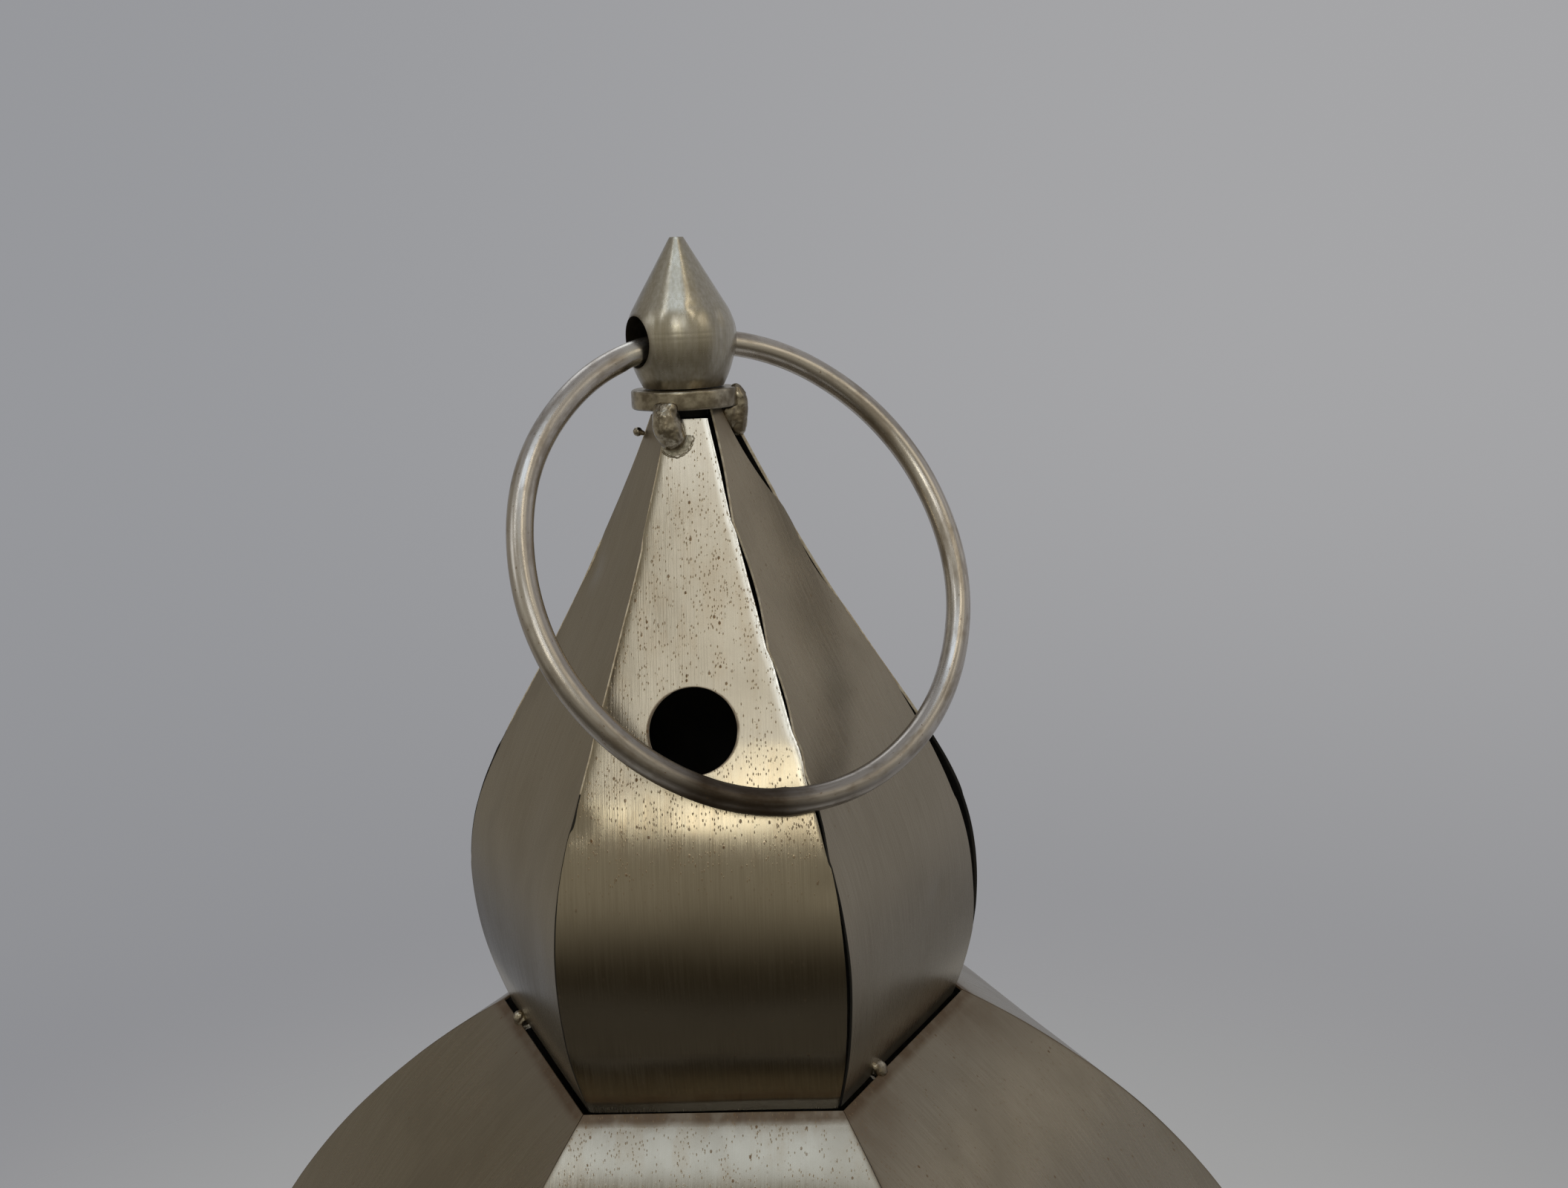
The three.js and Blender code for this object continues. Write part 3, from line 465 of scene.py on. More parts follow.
def paint_shade_black(obj, chosen):
    """Gives the soot-black material, as a second material, to the faces that chosen picks; here it is
    painted shade under the finial and the washer.
    """
    obj.data.materials.append(SOOT_AND_SHADE)
    for polygon in obj.data.polygons:
        if chosen(polygon):
            polygon.material_index = 1


def done(obj, node):
    """Gives a piece the material of its node's slot if it has none yet, puts it in its node's body, and
    hides the node.
    """
    if not obj.data.materials:
        obj.data.materials.append(MATERIALS[SLOT_OF[node]])
    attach(obj, BODY_OF[node])
    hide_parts(node)


def extra(obj, material):
    """The same for weld trim that stands for no node."""
    obj.data.materials.append(material)
    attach(obj, "lantern")


def wave(x, y=0.0, z=0.0):
    """Smooth noise from -1 to 1."""
    return noise.noise(Vector((x, y, z)))


def bell(x, width):
    return np.exp(-((x / width) ** 2))


def eased(x):
    """From 0 to 1 while x goes from 0 to 1, starting and ending level."""
    x = min(max(x, 0.0), 1.0)
    return x * x * (3 - 2 * x)


def turn_from(angle, other):
    """The turn from one angle to another, half a turn at most either way."""
    return (angle - other + math.pi) % (2 * math.pi) - math.pi


def toward(angle):
    return Vector((math.cos(angle), math.sin(angle), 0))


def heights(node):
    low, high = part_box(node)
    return low.z / MM, high.z / MM


def lathe(name, profile, segments, place):
    """A turned mesh from (radius, height) in millimetres, moved by the matrix place, in metres."""
    verts = []
    faces = []
    rings = []
    for radius, height in profile:
        count = segments if radius > 1e-6 else 1
        rings.append([len(verts) + k for k in range(count)])
        for k in range(count):
            angle = 2 * math.pi * k / segments
            verts.append(Vector((radius * math.cos(angle), radius * math.sin(angle), height)))
    for low, high in zip(rings, rings[1:]):
        for k in range(segments):
            a, b = low[k % len(low)], low[(k + 1) % len(low)]
            c, d = high[(k + 1) % len(high)], high[k % len(high)]
            corners = list(dict.fromkeys((a, b, c, d)))
            if len(corners) > 2:
                faces.append(corners)
    obj = new_object(name, verts, faces)
    write(obj, "turn", [v * MM for v in verts])
    obj.data.transform(place)
    outward(obj)
    return obj


def bore(obj, radius, reach, segments, place):
    """Cuts a round hole along the Z axis of the matrix place."""
    profile = [(0, -reach), (radius, -reach), (radius, reach), (0, reach)]
    cutter = lathe("cutter", profile, segments, place)
    modifier = obj.modifiers.new("hole", "BOOLEAN")
    modifier.operation = "DIFFERENCE"
    modifier.solver = "EXACT"
    modifier.object = cutter
    settle(obj)
    bpy.data.objects.remove(cutter)


def quadratic(a, b, c, steps):
    """Points on a curve from a to c that is drawn towards b."""
    a, b, c = Vector(a), Vector(b), Vector(c)
    shares = [k / steps for k in range(steps + 1)]
    return [tuple(a * (1 - t) ** 2 + b * 2 * t * (1 - t) + c * t ** 2) for t in shares]


def rounded(points, radius, steps=3):
    """A polyline with its inner corners rounded off."""
    line = [Vector(p) for p in points]
    result = [tuple(line[0])]
    for before, corner, after in zip(line, line[1:], line[2:]):
        reach = min(radius, (corner - before).length * 0.45, (after - corner).length * 0.45)
        start = corner + (before - corner).normalized() * reach
        end = corner + (after - corner).normalized() * reach
        result += quadratic(start, corner, end, steps)
    return result + [tuple(line[-1])]


def closed(section, radius, steps=3):
    """A closed profile whose corners are rounded, all but the first one."""
    profile = rounded(section + [section[0]], radius, steps)
    return profile[1:] + [profile[1]]


def bezier(points, steps):
    a, b, c, d = [np.array(p, float) for p in points]
    t = np.linspace(0, 1, steps + 1)[:, None]
    return a * (1 - t) ** 3 + b * 3 * t * (1 - t) ** 2 + c * 3 * t ** 2 * (1 - t) + d * t ** 3


def lengths(line):
    """How far along a polyline each of its points is."""
    return np.concatenate([[0], np.cumsum(np.linalg.norm(np.diff(line, axis=0), axis=1))])


def spaced(line, count):
    """A polyline again, with count equal steps along it."""
    along = lengths(line)
    at = np.linspace(0, along[-1], count + 1)
    return np.stack([np.interp(at, along, line[:, k]) for k in range(2)], axis=1)


# Corner lines of dome and roof, as corner radius and height, bottom to top
SPIGOT_HEAD_R = 5.4
DOME_MOUTH_GAP = 1.9
DOME_TOP_R = (SPIGOT_HEAD_R + DOME_MOUTH_GAP + PANEL_SHEET) / FLAT
DOME_BELLY_R = 65.1
DOME_BELLY_HEIGHT = 35.8
DOME_FOOT_R = 58.2
DOME_FLANK_SLOPE = 0.44
DOME_FLANK_REACH = 72.4
DOME_SHOULDER_REACH = 35.7
DOME_UNDER_REACH = 12.5
DOME_FOOT_SLOPE = 0.38
DOME_FOOT_REACH = 13.2
ROOF_EAVE_R = 155.0
ROOF_HEIGHT = 139.3
ROOF_NECK_GAP = 2.4
ROOF_EAVE_REACH = 18.5
ROOF_TOP_REACH = 48.0
ROOF_TOP_SLOPE = 1.78
CURVE_STEPS = 120
DOME_ROWS = 110
DOME_COLUMNS = 32
ROOF_ROWS = 90
ROOF_COLUMNS = 36


def dome_line():
    foot = (DOME_FOOT_R, 0)
    belly = (DOME_BELLY_R, DOME_BELLY_HEIGHT)
    top = (DOME_TOP_R, DOME_HEIGHT)
    foot_handle = (DOME_FOOT_R + DOME_FOOT_SLOPE * DOME_FOOT_REACH, DOME_FOOT_REACH)
    under_handle = (DOME_BELLY_R, DOME_BELLY_HEIGHT - DOME_UNDER_REACH)
    shoulder_handle = (DOME_BELLY_R, DOME_BELLY_HEIGHT + DOME_SHOULDER_REACH)
    flank_handle = (DOME_TOP_R + DOME_FLANK_SLOPE * DOME_FLANK_REACH, DOME_HEIGHT - DOME_FLANK_REACH)
    under = bezier([foot, foot_handle, under_handle, belly], CURVE_STEPS)
    flank = bezier([belly, shoulder_handle, flank_handle, top], CURVE_STEPS)
    return spaced(np.vstack([under, flank[1:]]), DOME_ROWS) + [0, DOME_BOTTOM]


def roof_line():
    eave = (ROOF_EAVE_R, 0)
    top = (DOME_FOOT_R + ROOF_NECK_GAP, ROOF_HEIGHT)
    eave_handle = (ROOF_EAVE_R, ROOF_EAVE_REACH)
    top_handle = (top[0] + ROOF_TOP_SLOPE * ROOF_TOP_REACH, ROOF_HEIGHT - ROOF_TOP_REACH)
    line = bezier([eave, eave_handle, top_handle, top], CURVE_STEPS)
    return spaced(line, ROOF_ROWS) + [0, ROOF_BOTTOM]


# Cut edges of the dome's panels. The vented panels are mitred at the corners, and the plain ones are cut
# square and stand back a little. Corners are named by their direction in degrees.
SHEET_SEEN = 0.6
MITRE_BACK = 0.12
CLOSED_BACK = 0.15
SQUARE_BACK = {0: 0.4, 300: 0.4}
ROOF_BACK = 0.08
BRIGHT_CUT_FROM = 500.0
PANEL_BEVEL = 0.08
VENT_CUT_REACH = 8
VENT_STEPS = 72

# Where the two sheets at a corner stand apart: lower end, upper end and width
OPENINGS = {
    0: [(555, 592, 3.0), (530, 551, 1.7), (442, 512, 3.5)],
    60: [(540, 610, 0.9), (450, 520, 0.4)],
    120: [(500, 560, 0.6), (440, 490, 0.3)],
    180: [(556, 610, 0.6), (470, 540, 0.3)],
    240: [],
    300: [
        (555, 601, 2.0), (528, 555, 1.9), (511, 528, 1.3),
        (505, 511, 0.7), (486, 505, 1.0), (416, 486, 1.8),
    ],
}
# Where the cut jogs aside: height and depth
JOGS = {
    0: [(558, 0.3), (530, -0.3), (480, 0.3)],
    60: [(540, 0.4), (500, -0.3)],
    120: [(560, 0.3), (490, 0.4)],
    180: [(549, 0.3), (497, 0.3), (465, -0.3)],
    240: [(552, 0.35), (511, 0.15), (494, -0.3)],
    300: [(555, 0.3), (528, 0.35), (511, 0.25), (505, -0.25), (486, 0.25)],
}
JOG_STEP = 1.0
JOG_REACH = 12.0
# How the cut wanders: depth, length and layer of noise
JOG_WAVES = ((0.22, 17.0, 2.0), (0.08, 5.0, 5.0))
# How the sheet waves: depth, length along it, length across it and layer of noise
SHEET_WAVES = ((0.22, 34.0, 30.0, 0.0), (0.05, 11.0, 10.0, 5.0))
# How far an edge is rolled back, on a panel's left and right
ROLLED = {"front": (0.1, 0.14)}
ROLL_WIDTH = 0.7
# Where the rolled panel gets a painted highlight: along its right edge, above a height, and at its top
EDGE_HIGHLIGHT = 0.85
EDGE_HIGHLIGHT_IN = 0.5
EDGE_HIGHLIGHT_WIDTH = 0.9
EDGE_HIGHLIGHT_FROM = 492.0
EDGE_HIGHLIGHT_FADE = 20.0
TOP_HIGHLIGHT = 0.22
TOP_HIGHLIGHT_REACH = 18.0

# The front panel's crease: its height, and the bend below it, which deepens to the right
CREASE_Z = 511.0
CREASE_SLOPE = 0.044
CREASE_DROP = 14.0
CREASE_FADE = 60.0
CREASE_LEFT = -6.0
CREASE_SPREAD = 24.0


def crease(height, sideways):
    """How far the front panel is bent in, at a place below its crease."""
    below = max(CREASE_Z - height, 0.0)
    bent = CREASE_SLOPE * min(below, CREASE_DROP) * (1 - eased((below - CREASE_DROP) / CREASE_FADE))
    return bent * eased((sideways - CREASE_LEFT) / CREASE_SPREAD)


def opening(corner, height):
    wide = 0.0
    for low, high, width in OPENINGS[corner]:
        if low < height < high:
            wide += width * math.sin(math.pi * (height - low) / (high - low))
    return wide


def jog(corner, height):
    """How far the cut between two panels wanders to the left of the corner."""
    aside = sum(depth * wave(height / length, corner, layer) for depth, length, layer in JOG_WAVES)
    for at, depth in JOGS[corner]:
        away = height - at
        aside += depth * math.tanh(away / JOG_STEP) * math.exp(-abs(away) / JOG_REACH)
    return aside


class Panel:
    """One bent sheet of the dome or the roof, with its cut edges and small dents."""

    def __init__(self, node, line, side, across, seed, hand_cut, dents):
        self.node = node
        self.line = line
        self.side = side
        self.across = across
        self.seed = seed
        self.hand_cut = hand_cut
        self.dents = dents
        self.vented = hand_cut and side in VENTED
        self.rolled = hand_cut and side in ROLLED
        self.along = lengths(line)
        self.flat = np.stack([line[:, 0] * FLAT, line[:, 1]], axis=1)
        step = np.gradient(self.flat, axis=0)
        step /= np.linalg.norm(step, axis=1)[:, None]
        self.normal = np.stack([step[:, 1], -step[:, 0]], axis=1)

    def at(self, height, values):
        """What values, given for each row of the sheet, come to at a height."""
        return np.interp(height, self.line[:, 1], values)

    def seam(self, right, height, along):
        """How far the panel's edge stands back from the corner line, at a height."""
        if not self.hand_cut:
            return ROOF_BACK + 0.5 * ROOF_BACK * wave(along / 9.0, self.seed, 3.0 * right)
        corner = (SIDES[self.side] + (30 if right else -30)) % 360
        aside = jog(corner, height) if right else -jog(corner, height)
        if self.vented:
            return MITRE_BACK + aside
        return SQUARE_BACK.get(corner, CLOSED_BACK) + opening(corner, height) + aside

    def dent(self, height, sideways, along, low, high):
        """How far the sheet is pushed out or in at a place between its two edges."""
        out = 0.0
        for depth, length, width, layer in SHEET_WAVES:
            out += depth * wave(along / length, sideways / width, self.seed + layer)
        for at, beside, depth, width in self.dents:
            out -= depth * math.exp(-((height - at) ** 2 + (sideways - beside) ** 2) / width ** 2)
        if self.rolled:
            left, right = ROLLED[self.side]
            out -= left * math.exp(-(sideways - low) / ROLL_WIDTH)
            out -= right * math.exp(-(high - sideways) / ROLL_WIDTH)
            out -= crease(height, sideways)
        return out

    def painted_highlight(self, height, sideways, along, half):
        """How bright the front panel is painted at a place: a painted highlight along its right edge and
        at its top.
        """
        edge = half - self.seam(True, height, 0.0) - sideways
        edge_light = EDGE_HIGHLIGHT * bell(edge - EDGE_HIGHLIGHT_IN, EDGE_HIGHLIGHT_WIDTH) * eased((height - EDGE_HIGHLIGHT_FROM) / EDGE_HIGHLIGHT_FADE)
        return max(edge_light, TOP_HIGHLIGHT * bell(height - DOME_TOP, TOP_HIGHLIGHT_REACH))

    def build(self):
        """The sheet's outer and inner face, row by row, and the cut edges between them."""
        rows = len(self.line)
        columns = self.across + 1
        shares = [(1 - math.cos(math.pi * j / self.across)) / 2 for j in range(columns)]
        square = self.hand_cut and not self.vented
        verts = []
        for thick in (0.0, -SHEET_SEEN):
            for flat, normal, along in zip(self.flat, self.normal, self.along):
                out, height = flat + normal * thick
                half = (flat[0] if square else out) * FLARE
                low = -half + self.seam(False, flat[1], along)
                high = half - self.seam(True, flat[1], along)
                for share in shares:
                    sideways = low + (high - low) * share
                    push = self.dent(height, sideways, along, low, high)
                    verts.append((out + normal[0] * push, sideways, height + normal[1] * push))
        count = rows * columns
        faces = []
        for i in range(rows - 1):
            for j in range(self.across):
                a = i * columns + j
                b = a + columns
                faces.append((a, a + 1, b + 1, b))
                faces.append((count + a, count + b, count + b + 1, count + a + 1))
        for i in range(rows - 1):
            a = i * columns
            b = a + columns - 1
            faces.append((a, a + columns, count + a + columns, count + a))
            faces.append((b, count + b, count + b + columns, b + columns))
        for j in range(self.across):
            b = (rows - 1) * columns + j
            faces.append((j, count + j, count + j + 1, j + 1))
            faces.append((b, b + 1, count + b + 1, count + b))
        obj = new_object(self.node + "_sheet", verts, faces)
        outward(obj)
        return obj

    def cut_vent(self, obj):
        """A round hole square to the face."""
        out = self.at(VENT_HEIGHT, self.flat[:, 0])
        tilt = math.atan2(*(self.at(VENT_HEIGHT, self.normal[:, k]) for k in range(2)))
        place = Matrix.Translation(Vector((out, 0, VENT_HEIGHT)) * MM) @ Matrix.Rotation(tilt, 4, "Y")
        bore(obj, VENT_R, VENT_CUT_REACH, VENT_STEPS, place)

    def finish(self, obj, marks):
        """Marks the sheet's own coordinates, its marks and the rolled panel's painted highlight, then
        turns it to its side.
        """
        points = points_of(obj) / MM
        sideways = points[:, 1]
        height = points[:, 2]
        along = self.at(height, self.along)
        half = self.at(height, self.line[:, 0]) * FLAT * FLARE
        layer = np.full(len(points), 11.0 * self.seed)
        write(obj, "sheet", np.stack([sideways, along, layer], axis=1) * MM)
        if self.rolled:
            marks = {**marks, "wear_and_highlight": Panel.painted_highlight}
        for name, mark in marks.items():
            write(obj, name, [mark(self, *row) for row in zip(height, sideways, along, half)])
        write(obj, "polish", 1.0 if self.side == "front" else 0.0)
        if self.vented:
            from_vent = along - self.at(VENT_HEIGHT, self.along)
            write(obj, "rim", np.stack([sideways, from_vent, np.zeros(len(points))], axis=1) * MM)
        for material in (MATERIALS["sheet_steel"], SOOT_AND_SHADE, CUT):
            obj.data.materials.append(material)
        normals_out = self.at(height, self.normal[:, 0])
        normals_up = self.at(height, self.normal[:, 1])
        for polygon in obj.data.polygons:
            first = polygon.vertices[0]
            facing = polygon.normal.x * normals_out[first] + polygon.normal.z * normals_up[first]
            # Inner faces are sooted black; cut faces are bright above BRIGHT_CUT_FROM and black below
            # it.
            if facing < -0.5:
                polygon.material_index = 1
            elif facing < 0.5 and abs(polygon.normal.y) > 0.5 and self.hand_cut:
                polygon.material_index = 2 if height[first] > BRIGHT_CUT_FROM else 1
        obj.data.transform(Matrix.Rotation(math.radians(SIDES[self.side]), 4, "Z"))
        shade(obj)
        done(obj, self.node)

    def make(self, marks):
        sheet = self.build()
        if self.vented:
            self.cut_vent(sheet)
        bevel(sheet, PANEL_BEVEL, 1, 50)
        self.finish(sheet, marks)


# Dents: height, sideways, depth, width
DOME_DENTS = {
    "front": [(495.0, -27.0, 0.3, 2.6), (481.0, 29.0, 0.3, 3.0), (470.0, 8.0, 0.2, 9.0)],
    "front_right": [(503.8, -13.7, 0.22, 7.0), (461.6, 11.9, 0.4, 3.0), (530.0, 4.0, 0.25, 8.0)],
    "front_left": [(542.0, -11.0, 0.5, 4.0), (490.0, 4.0, 0.3, 9.0)],
    "rear": [(500.0, 6.0, 0.5, 6.0)],
}
ROOF_DENTS = {
    "front": [(380.0, -30.0, 0.7, 10.0)],
    "front_right": [(396.0, -14.0, 0.6, 8.0), (360.0, 20.0, 0.9, 14.0)],
    "front_left": [(390.0, 10.0, 0.7, 9.0), (350.0, -20.0, 0.8, 14.0)],
}
# How thick the rust specks lie on each panel, and the heights where the dome has more of them
DOME_SPECKS = {"front": 1.1, "front_right": 0.34, "front_left": 0.28}
ROOF_SPECKS = {"front": 0.95, "front_right": 0.5, "front_left": 0.45}
OTHER_SPECKS = 0.45
SPECKS_LEAST = 0.08
SPECKS_MORE = 0.37
SPECKS_FROM = 472.0
SPECKS_FADE = 20.0
SPECK_BANDS = ((545.0, 24.0), (497.0, 14.0))
# How dark each panel is made, and between which heights on the dome. On the dome this is painted shade
# on the lower panels, strongest on the front and front left ones, with some brown patina in it; on the
# roof it makes every panel but the front one darker, the front right one only a little.
DOME_SHADE = {"front": 1.0, "front_left": 0.95, "front_right": 0.30}
DOME_OTHER_SHADE = 0.5
SHADE_TOP = 480.0
SHADE_FADE = 36.0
SHADE_FOOT = 9.5
SHADE_FOOT_FADE = 9.0
ROOF_DARKEN = {"front": 0.0, "front_right": 0.05}
ROOF_OTHER_DARKEN = 0.22
# Brown stains along the edges: strength and reach. Along the roof's top edge, under the dome's foot, the
# strong stain also paints the shade in the gap.
DOME_FOOT_STAIN = (0.3, 3.0)
DOME_SEAM_STAIN = (0.35, 0.6)
DOME_TOP_STAIN = (0.4, 6.0)
ROOF_SEAM_STAIN = (0.7, 0.6)
ROOF_TOP_STAIN_AND_SHADE = (1.7, 2.8)
ROOF_NECK_STAIN = (0.25, 8.0)
ROOF_EAVE_STAIN = (0.5, 4.0)
# A stain on the roof's front right panel: strength, then distance and reach from its top and its seams
PATCH_STAIN = 0.6
PATCH_TOP = (4.0, 12.0)
PATCH_SEAM = (6.0, 16.0)
# How far up each panel's top edge goes on beyond the front one's
TOP_REACH = {"front_right": 1.9, "front_left": 1.2, "rear": 1.0}


def stained(away, stain):
    strength, reach = stain
    return strength * bell(away, reach)


def dome_rust(panel, height, sideways, along, half):
    clusters = SPECKS_LEAST + SPECKS_MORE * eased((height - SPECKS_FROM) / SPECKS_FADE)
    clusters += sum(0.5 * bell(height - middle, reach) for middle, reach in SPECK_BANDS)
    return DOME_SPECKS.get(panel.side, OTHER_SPECKS) * clusters


def dome_stain(panel, height, sideways, along, half):
    amount = stained(height - DOME_BOTTOM, DOME_FOOT_STAIN)
    if panel.vented:
        return amount
    seam = stained(half - abs(sideways), DOME_SEAM_STAIN)
    return max(amount, seam, stained(height - DOME_TOP, DOME_TOP_STAIN))


# Painted shade on the dome's lower panels, with some patina: strongest on the front ones, fading out
# above SHADE_TOP and near the foot.
def dome_shade(panel, height, sideways, along, half):
    strength = DOME_SHADE.get(panel.side, DOME_OTHER_SHADE)
    foot = eased((height - DOME_BOTTOM - SHADE_FOOT) / SHADE_FOOT_FADE)
    return strength * eased((SHADE_TOP - height) / SHADE_FADE) * foot


def roof_rust(panel, height, sideways, along, half):
    return ROOF_SPECKS.get(panel.side, OTHER_SPECKS)


def roof_stain(panel, height, sideways, along, half):
    edge = half - abs(sideways)
    top = panel.along[-1] - along
    amount = max(stained(edge, ROOF_SEAM_STAIN), stained(along, ROOF_EAVE_STAIN))
    # The top edge, under the dome, is stained dark, which also paints the shade there.
    amount = max(amount, stained(top, ROOF_TOP_STAIN_AND_SHADE), stained(top, ROOF_NECK_STAIN))
    if panel.side == "front_right":
        near = bell(top - PATCH_TOP[0], PATCH_TOP[1]) * bell(edge - PATCH_SEAM[0], PATCH_SEAM[1])
        amount = max(amount, PATCH_STAIN * near)
    return min(amount, 1.0)


# Darkens each roof panel by a set amount.
def roof_darkening(panel, height, sideways, along, half):
    return ROOF_DARKEN.get(panel.side, ROOF_OTHER_DARKEN)


def reached(line, reach):
    """A corner line that goes on beyond its upper end."""
    if reach == 0:
        return line
    step = line[-1] - line[-2]
    return np.vstack([line, line[-1] + step * reach / np.linalg.norm(step)])


DOME_MARKS = {"rust": dome_rust, "stain": dome_stain, "darkening": dome_shade}
ROOF_MARKS = {"rust": roof_rust, "stain": roof_stain, "darkening": roof_darkening}
for index, side in enumerate(SIDES):
    line = reached(dome_line(), TOP_REACH.get(side, 0))
    seed = 1.7 + 2.3 * index
    dents = DOME_DENTS.get(side, [])
    Panel("dome_panel_" + side, line, side, DOME_COLUMNS, seed, True, dents).make(DOME_MARKS)
for index, side in enumerate(SIDES):
    seed = 31.3 + 2.9 * index
    dents = ROOF_DENTS.get(side, [])
    Panel("roof_panel_" + side, roof_line(), side, ROOF_COLUMNS, seed, False, dents).make(ROOF_MARKS)

# Collar: finial, washer, weld metal and ring. Heights are measured from the washer's top.
COLLAR_SHIFT = -1.3
COLLAR_NOD = math.radians(-4.5)
COLLAR_LEAN = math.radians(0.5)
COLLAR = (
    Matrix.Translation(Vector((COLLAR_SHIFT, 0, COLLAR_TOP)) * MM)
    @ Matrix.Rotation(COLLAR_NOD, 4, "X")
    @ Matrix.Rotation(COLLAR_LEAN, 4, "Y")
)
RING_AZIMUTH = math.radians(34.5)
RING_HOLE_HEIGHT = 11.2
RING_HOLE_R = 6.0
RING_HOLE_REACH = 30
RING_HOLE_STEPS = 64

# The finial's profile, as radius and height
FINIAL_R = 12.7
FINIAL_FOOT = (9.4, 0.3)
FINIAL_BELLY = (FINIAL_R, 12.0)
FINIAL_SHOULDER = (10.9, 18.79)
FINIAL_TIP = (1.75, 34.3)
FINIAL_END = [(1.6, 34.52), (1.3, 34.6), (0, 34.6)]
SPIGOT = [(0, -6.6), (SPIGOT_HEAD_R, -6.6), (SPIGOT_HEAD_R, -4.8), (4.0, -4.8), (4.0, 0.3), (9.2, 0.3)]
CONE_STEPS = 60
# The finial's marks: a lip round the cross hole, a dent, and grooves as height, width and share
LIP = 0.25
LIP_WIDTH = 0.7
DENT_DEPTH = 0.10
DENT_AZIMUTH = -67.7
DENT_TURN = 7.0
DENT_HEIGHT = 19.1
DENT_RISE = 1.2
GROOVE_DEPTH = 0.04
GROOVES = ((12.9, 0.18, 1.0), (11.6, 0.15, 0.7))
FINIAL_SHADE_AND_STAIN = 0.6
FINIAL_SHADE_TOP = 7.5
WASHER_R = 12.6
WASHER_HOLE_R = 4.3
WASHER_SHEET = 4.5
WASHER_FLAT_R = 8.0


def make_finial():
    belly = quadratic(FINIAL_FOOT, (FINIAL_R, 6.2), FINIAL_BELLY, 40)
    shoulder = quadratic(FINIAL_BELLY, (FINIAL_R, 15.74), FINIAL_SHOULDER, 28)
    cone = np.linspace(FINIAL_SHOULDER, FINIAL_TIP, CONE_STEPS + 1)[1:].tolist()
    profile = rounded(SPIGOT, 0.3) + belly + shoulder[1:] + cone + FINIAL_END
    obj = lathe("finial_turning", profile, 144, Matrix.Identity(4))
    place = (
        Matrix.Translation(Vector((0, 0, RING_HOLE_HEIGHT)) * MM)
        @ Matrix.Rotation(RING_AZIMUTH, 4, "Z")
        @ Matrix.Rotation(math.pi / 2, 4, "Y")
    )
    bore(obj, RING_HOLE_R, RING_HOLE_REACH, RING_HOLE_STEPS, place)
    points = points_of(obj) / MM
    along = np.array((math.cos(RING_AZIMUTH), math.sin(RING_AZIMUTH), 0))
    offset = points - np.array((0, 0, RING_HOLE_HEIGHT))
    depth = offset @ along
    from_hole = np.linalg.norm(offset - depth[:, None] * along, axis=1) - RING_HOLE_R
    outside = np.hypot(points[:, 0], points[:, 1])
    lip = bell(from_hole, LIP_WIDTH) * (np.abs(depth) > 8.0)
    points += (LIP * lip * np.sign(depth))[:, None] * along
    height = points[:, 2]
    azimuth = np.degrees(np.arctan2(points[:, 1], points[:, 0]))
    dent = bell(azimuth - DENT_AZIMUTH, DENT_TURN) * bell(height - DENT_HEIGHT, DENT_RISE)
    groove = sum(share * bell(height - at, width) for at, width, share in GROOVES)
    groove *= (outside > 8.0) * (from_hole > 0.4)
    inward = points * (1, 1, 0) / np.maximum(outside, 1.0)[:, None]
    points -= (DENT_DEPTH * dent + GROOVE_DEPTH * groove)[:, None] * inward
    move_points(obj, points * MM)
    if obj.data.attributes.get("turn"):
        obj.data.attributes.remove(obj.data.attributes["turn"])
    write(obj, "turn", points * MM)
    # Painted shade: brown growing towards the finial's foot below FINIAL_SHADE_TOP, with a stain round
    # the cross hole.
    low = np.clip((FINIAL_SHADE_TOP - height) / FINIAL_SHADE_TOP, 0, 1)
    write(obj, "stain", FINIAL_SHADE_AND_STAIN * np.maximum(low, bell(from_hole, 0.5)))
    obj.data.materials.append(MATERIALS["turned_steel"])
    # Painted shade: the spigot inside the dome is made soot-black.
    paint_shade_black(obj, lambda polygon: polygon.center.z < 0)
    obj.data.transform(COLLAR)
    shade(obj)
    done(obj, "finial")


def make_washer():
    """The washer, cut by hand: ragged round its edge and not quite flat."""
    under = [(WASHER_HOLE_R, -WASHER_SHEET), (WASHER_R, -WASHER_SHEET)]
    section = under + [(WASHER_R, 0), (WASHER_HOLE_R, 0)]
    obj = lathe("collar_washer_cut", closed(section, 0.7, 4), 120, Matrix.Identity(4))
    points = points_of(obj) / MM
    for point in points:
        x, y, z = point.tolist()
        out = math.hypot(x, y)
        edge = max(0.0, (out - WASHER_FLAT_R) / (WASHER_R - WASHER_FLAT_R))
        ragged = 0.28 * wave(1.6 * x / out, 1.6 * y / out, 4.0)
        ragged += 0.06 * wave(5.0 * x / out, 5.0 * y / out, z / 2.5)
        point[:2] *= 1 + (ragged - 0.12) * edge / WASHER_R
        point[2] += 0.14 * edge * wave(point[0] / 5.0, point[1] / 5.0, 9.0 + z)
    move_points(obj, points * MM)
    write(obj, "sheet", points * MM)
    remade(obj.data, obj.data, lambda made: bmesh.ops.remove_doubles(made, verts=made.verts, dist=1e-6))
    obj.data.materials.append(PLATE)
    # Painted shade: the washer's underside is made soot-black.
    paint_shade_black(obj, lambda polygon: polygon.normal.z < -0.7)
    obj.data.transform(COLLAR)
    shade(obj, 60)
    done(obj, "collar_washer")


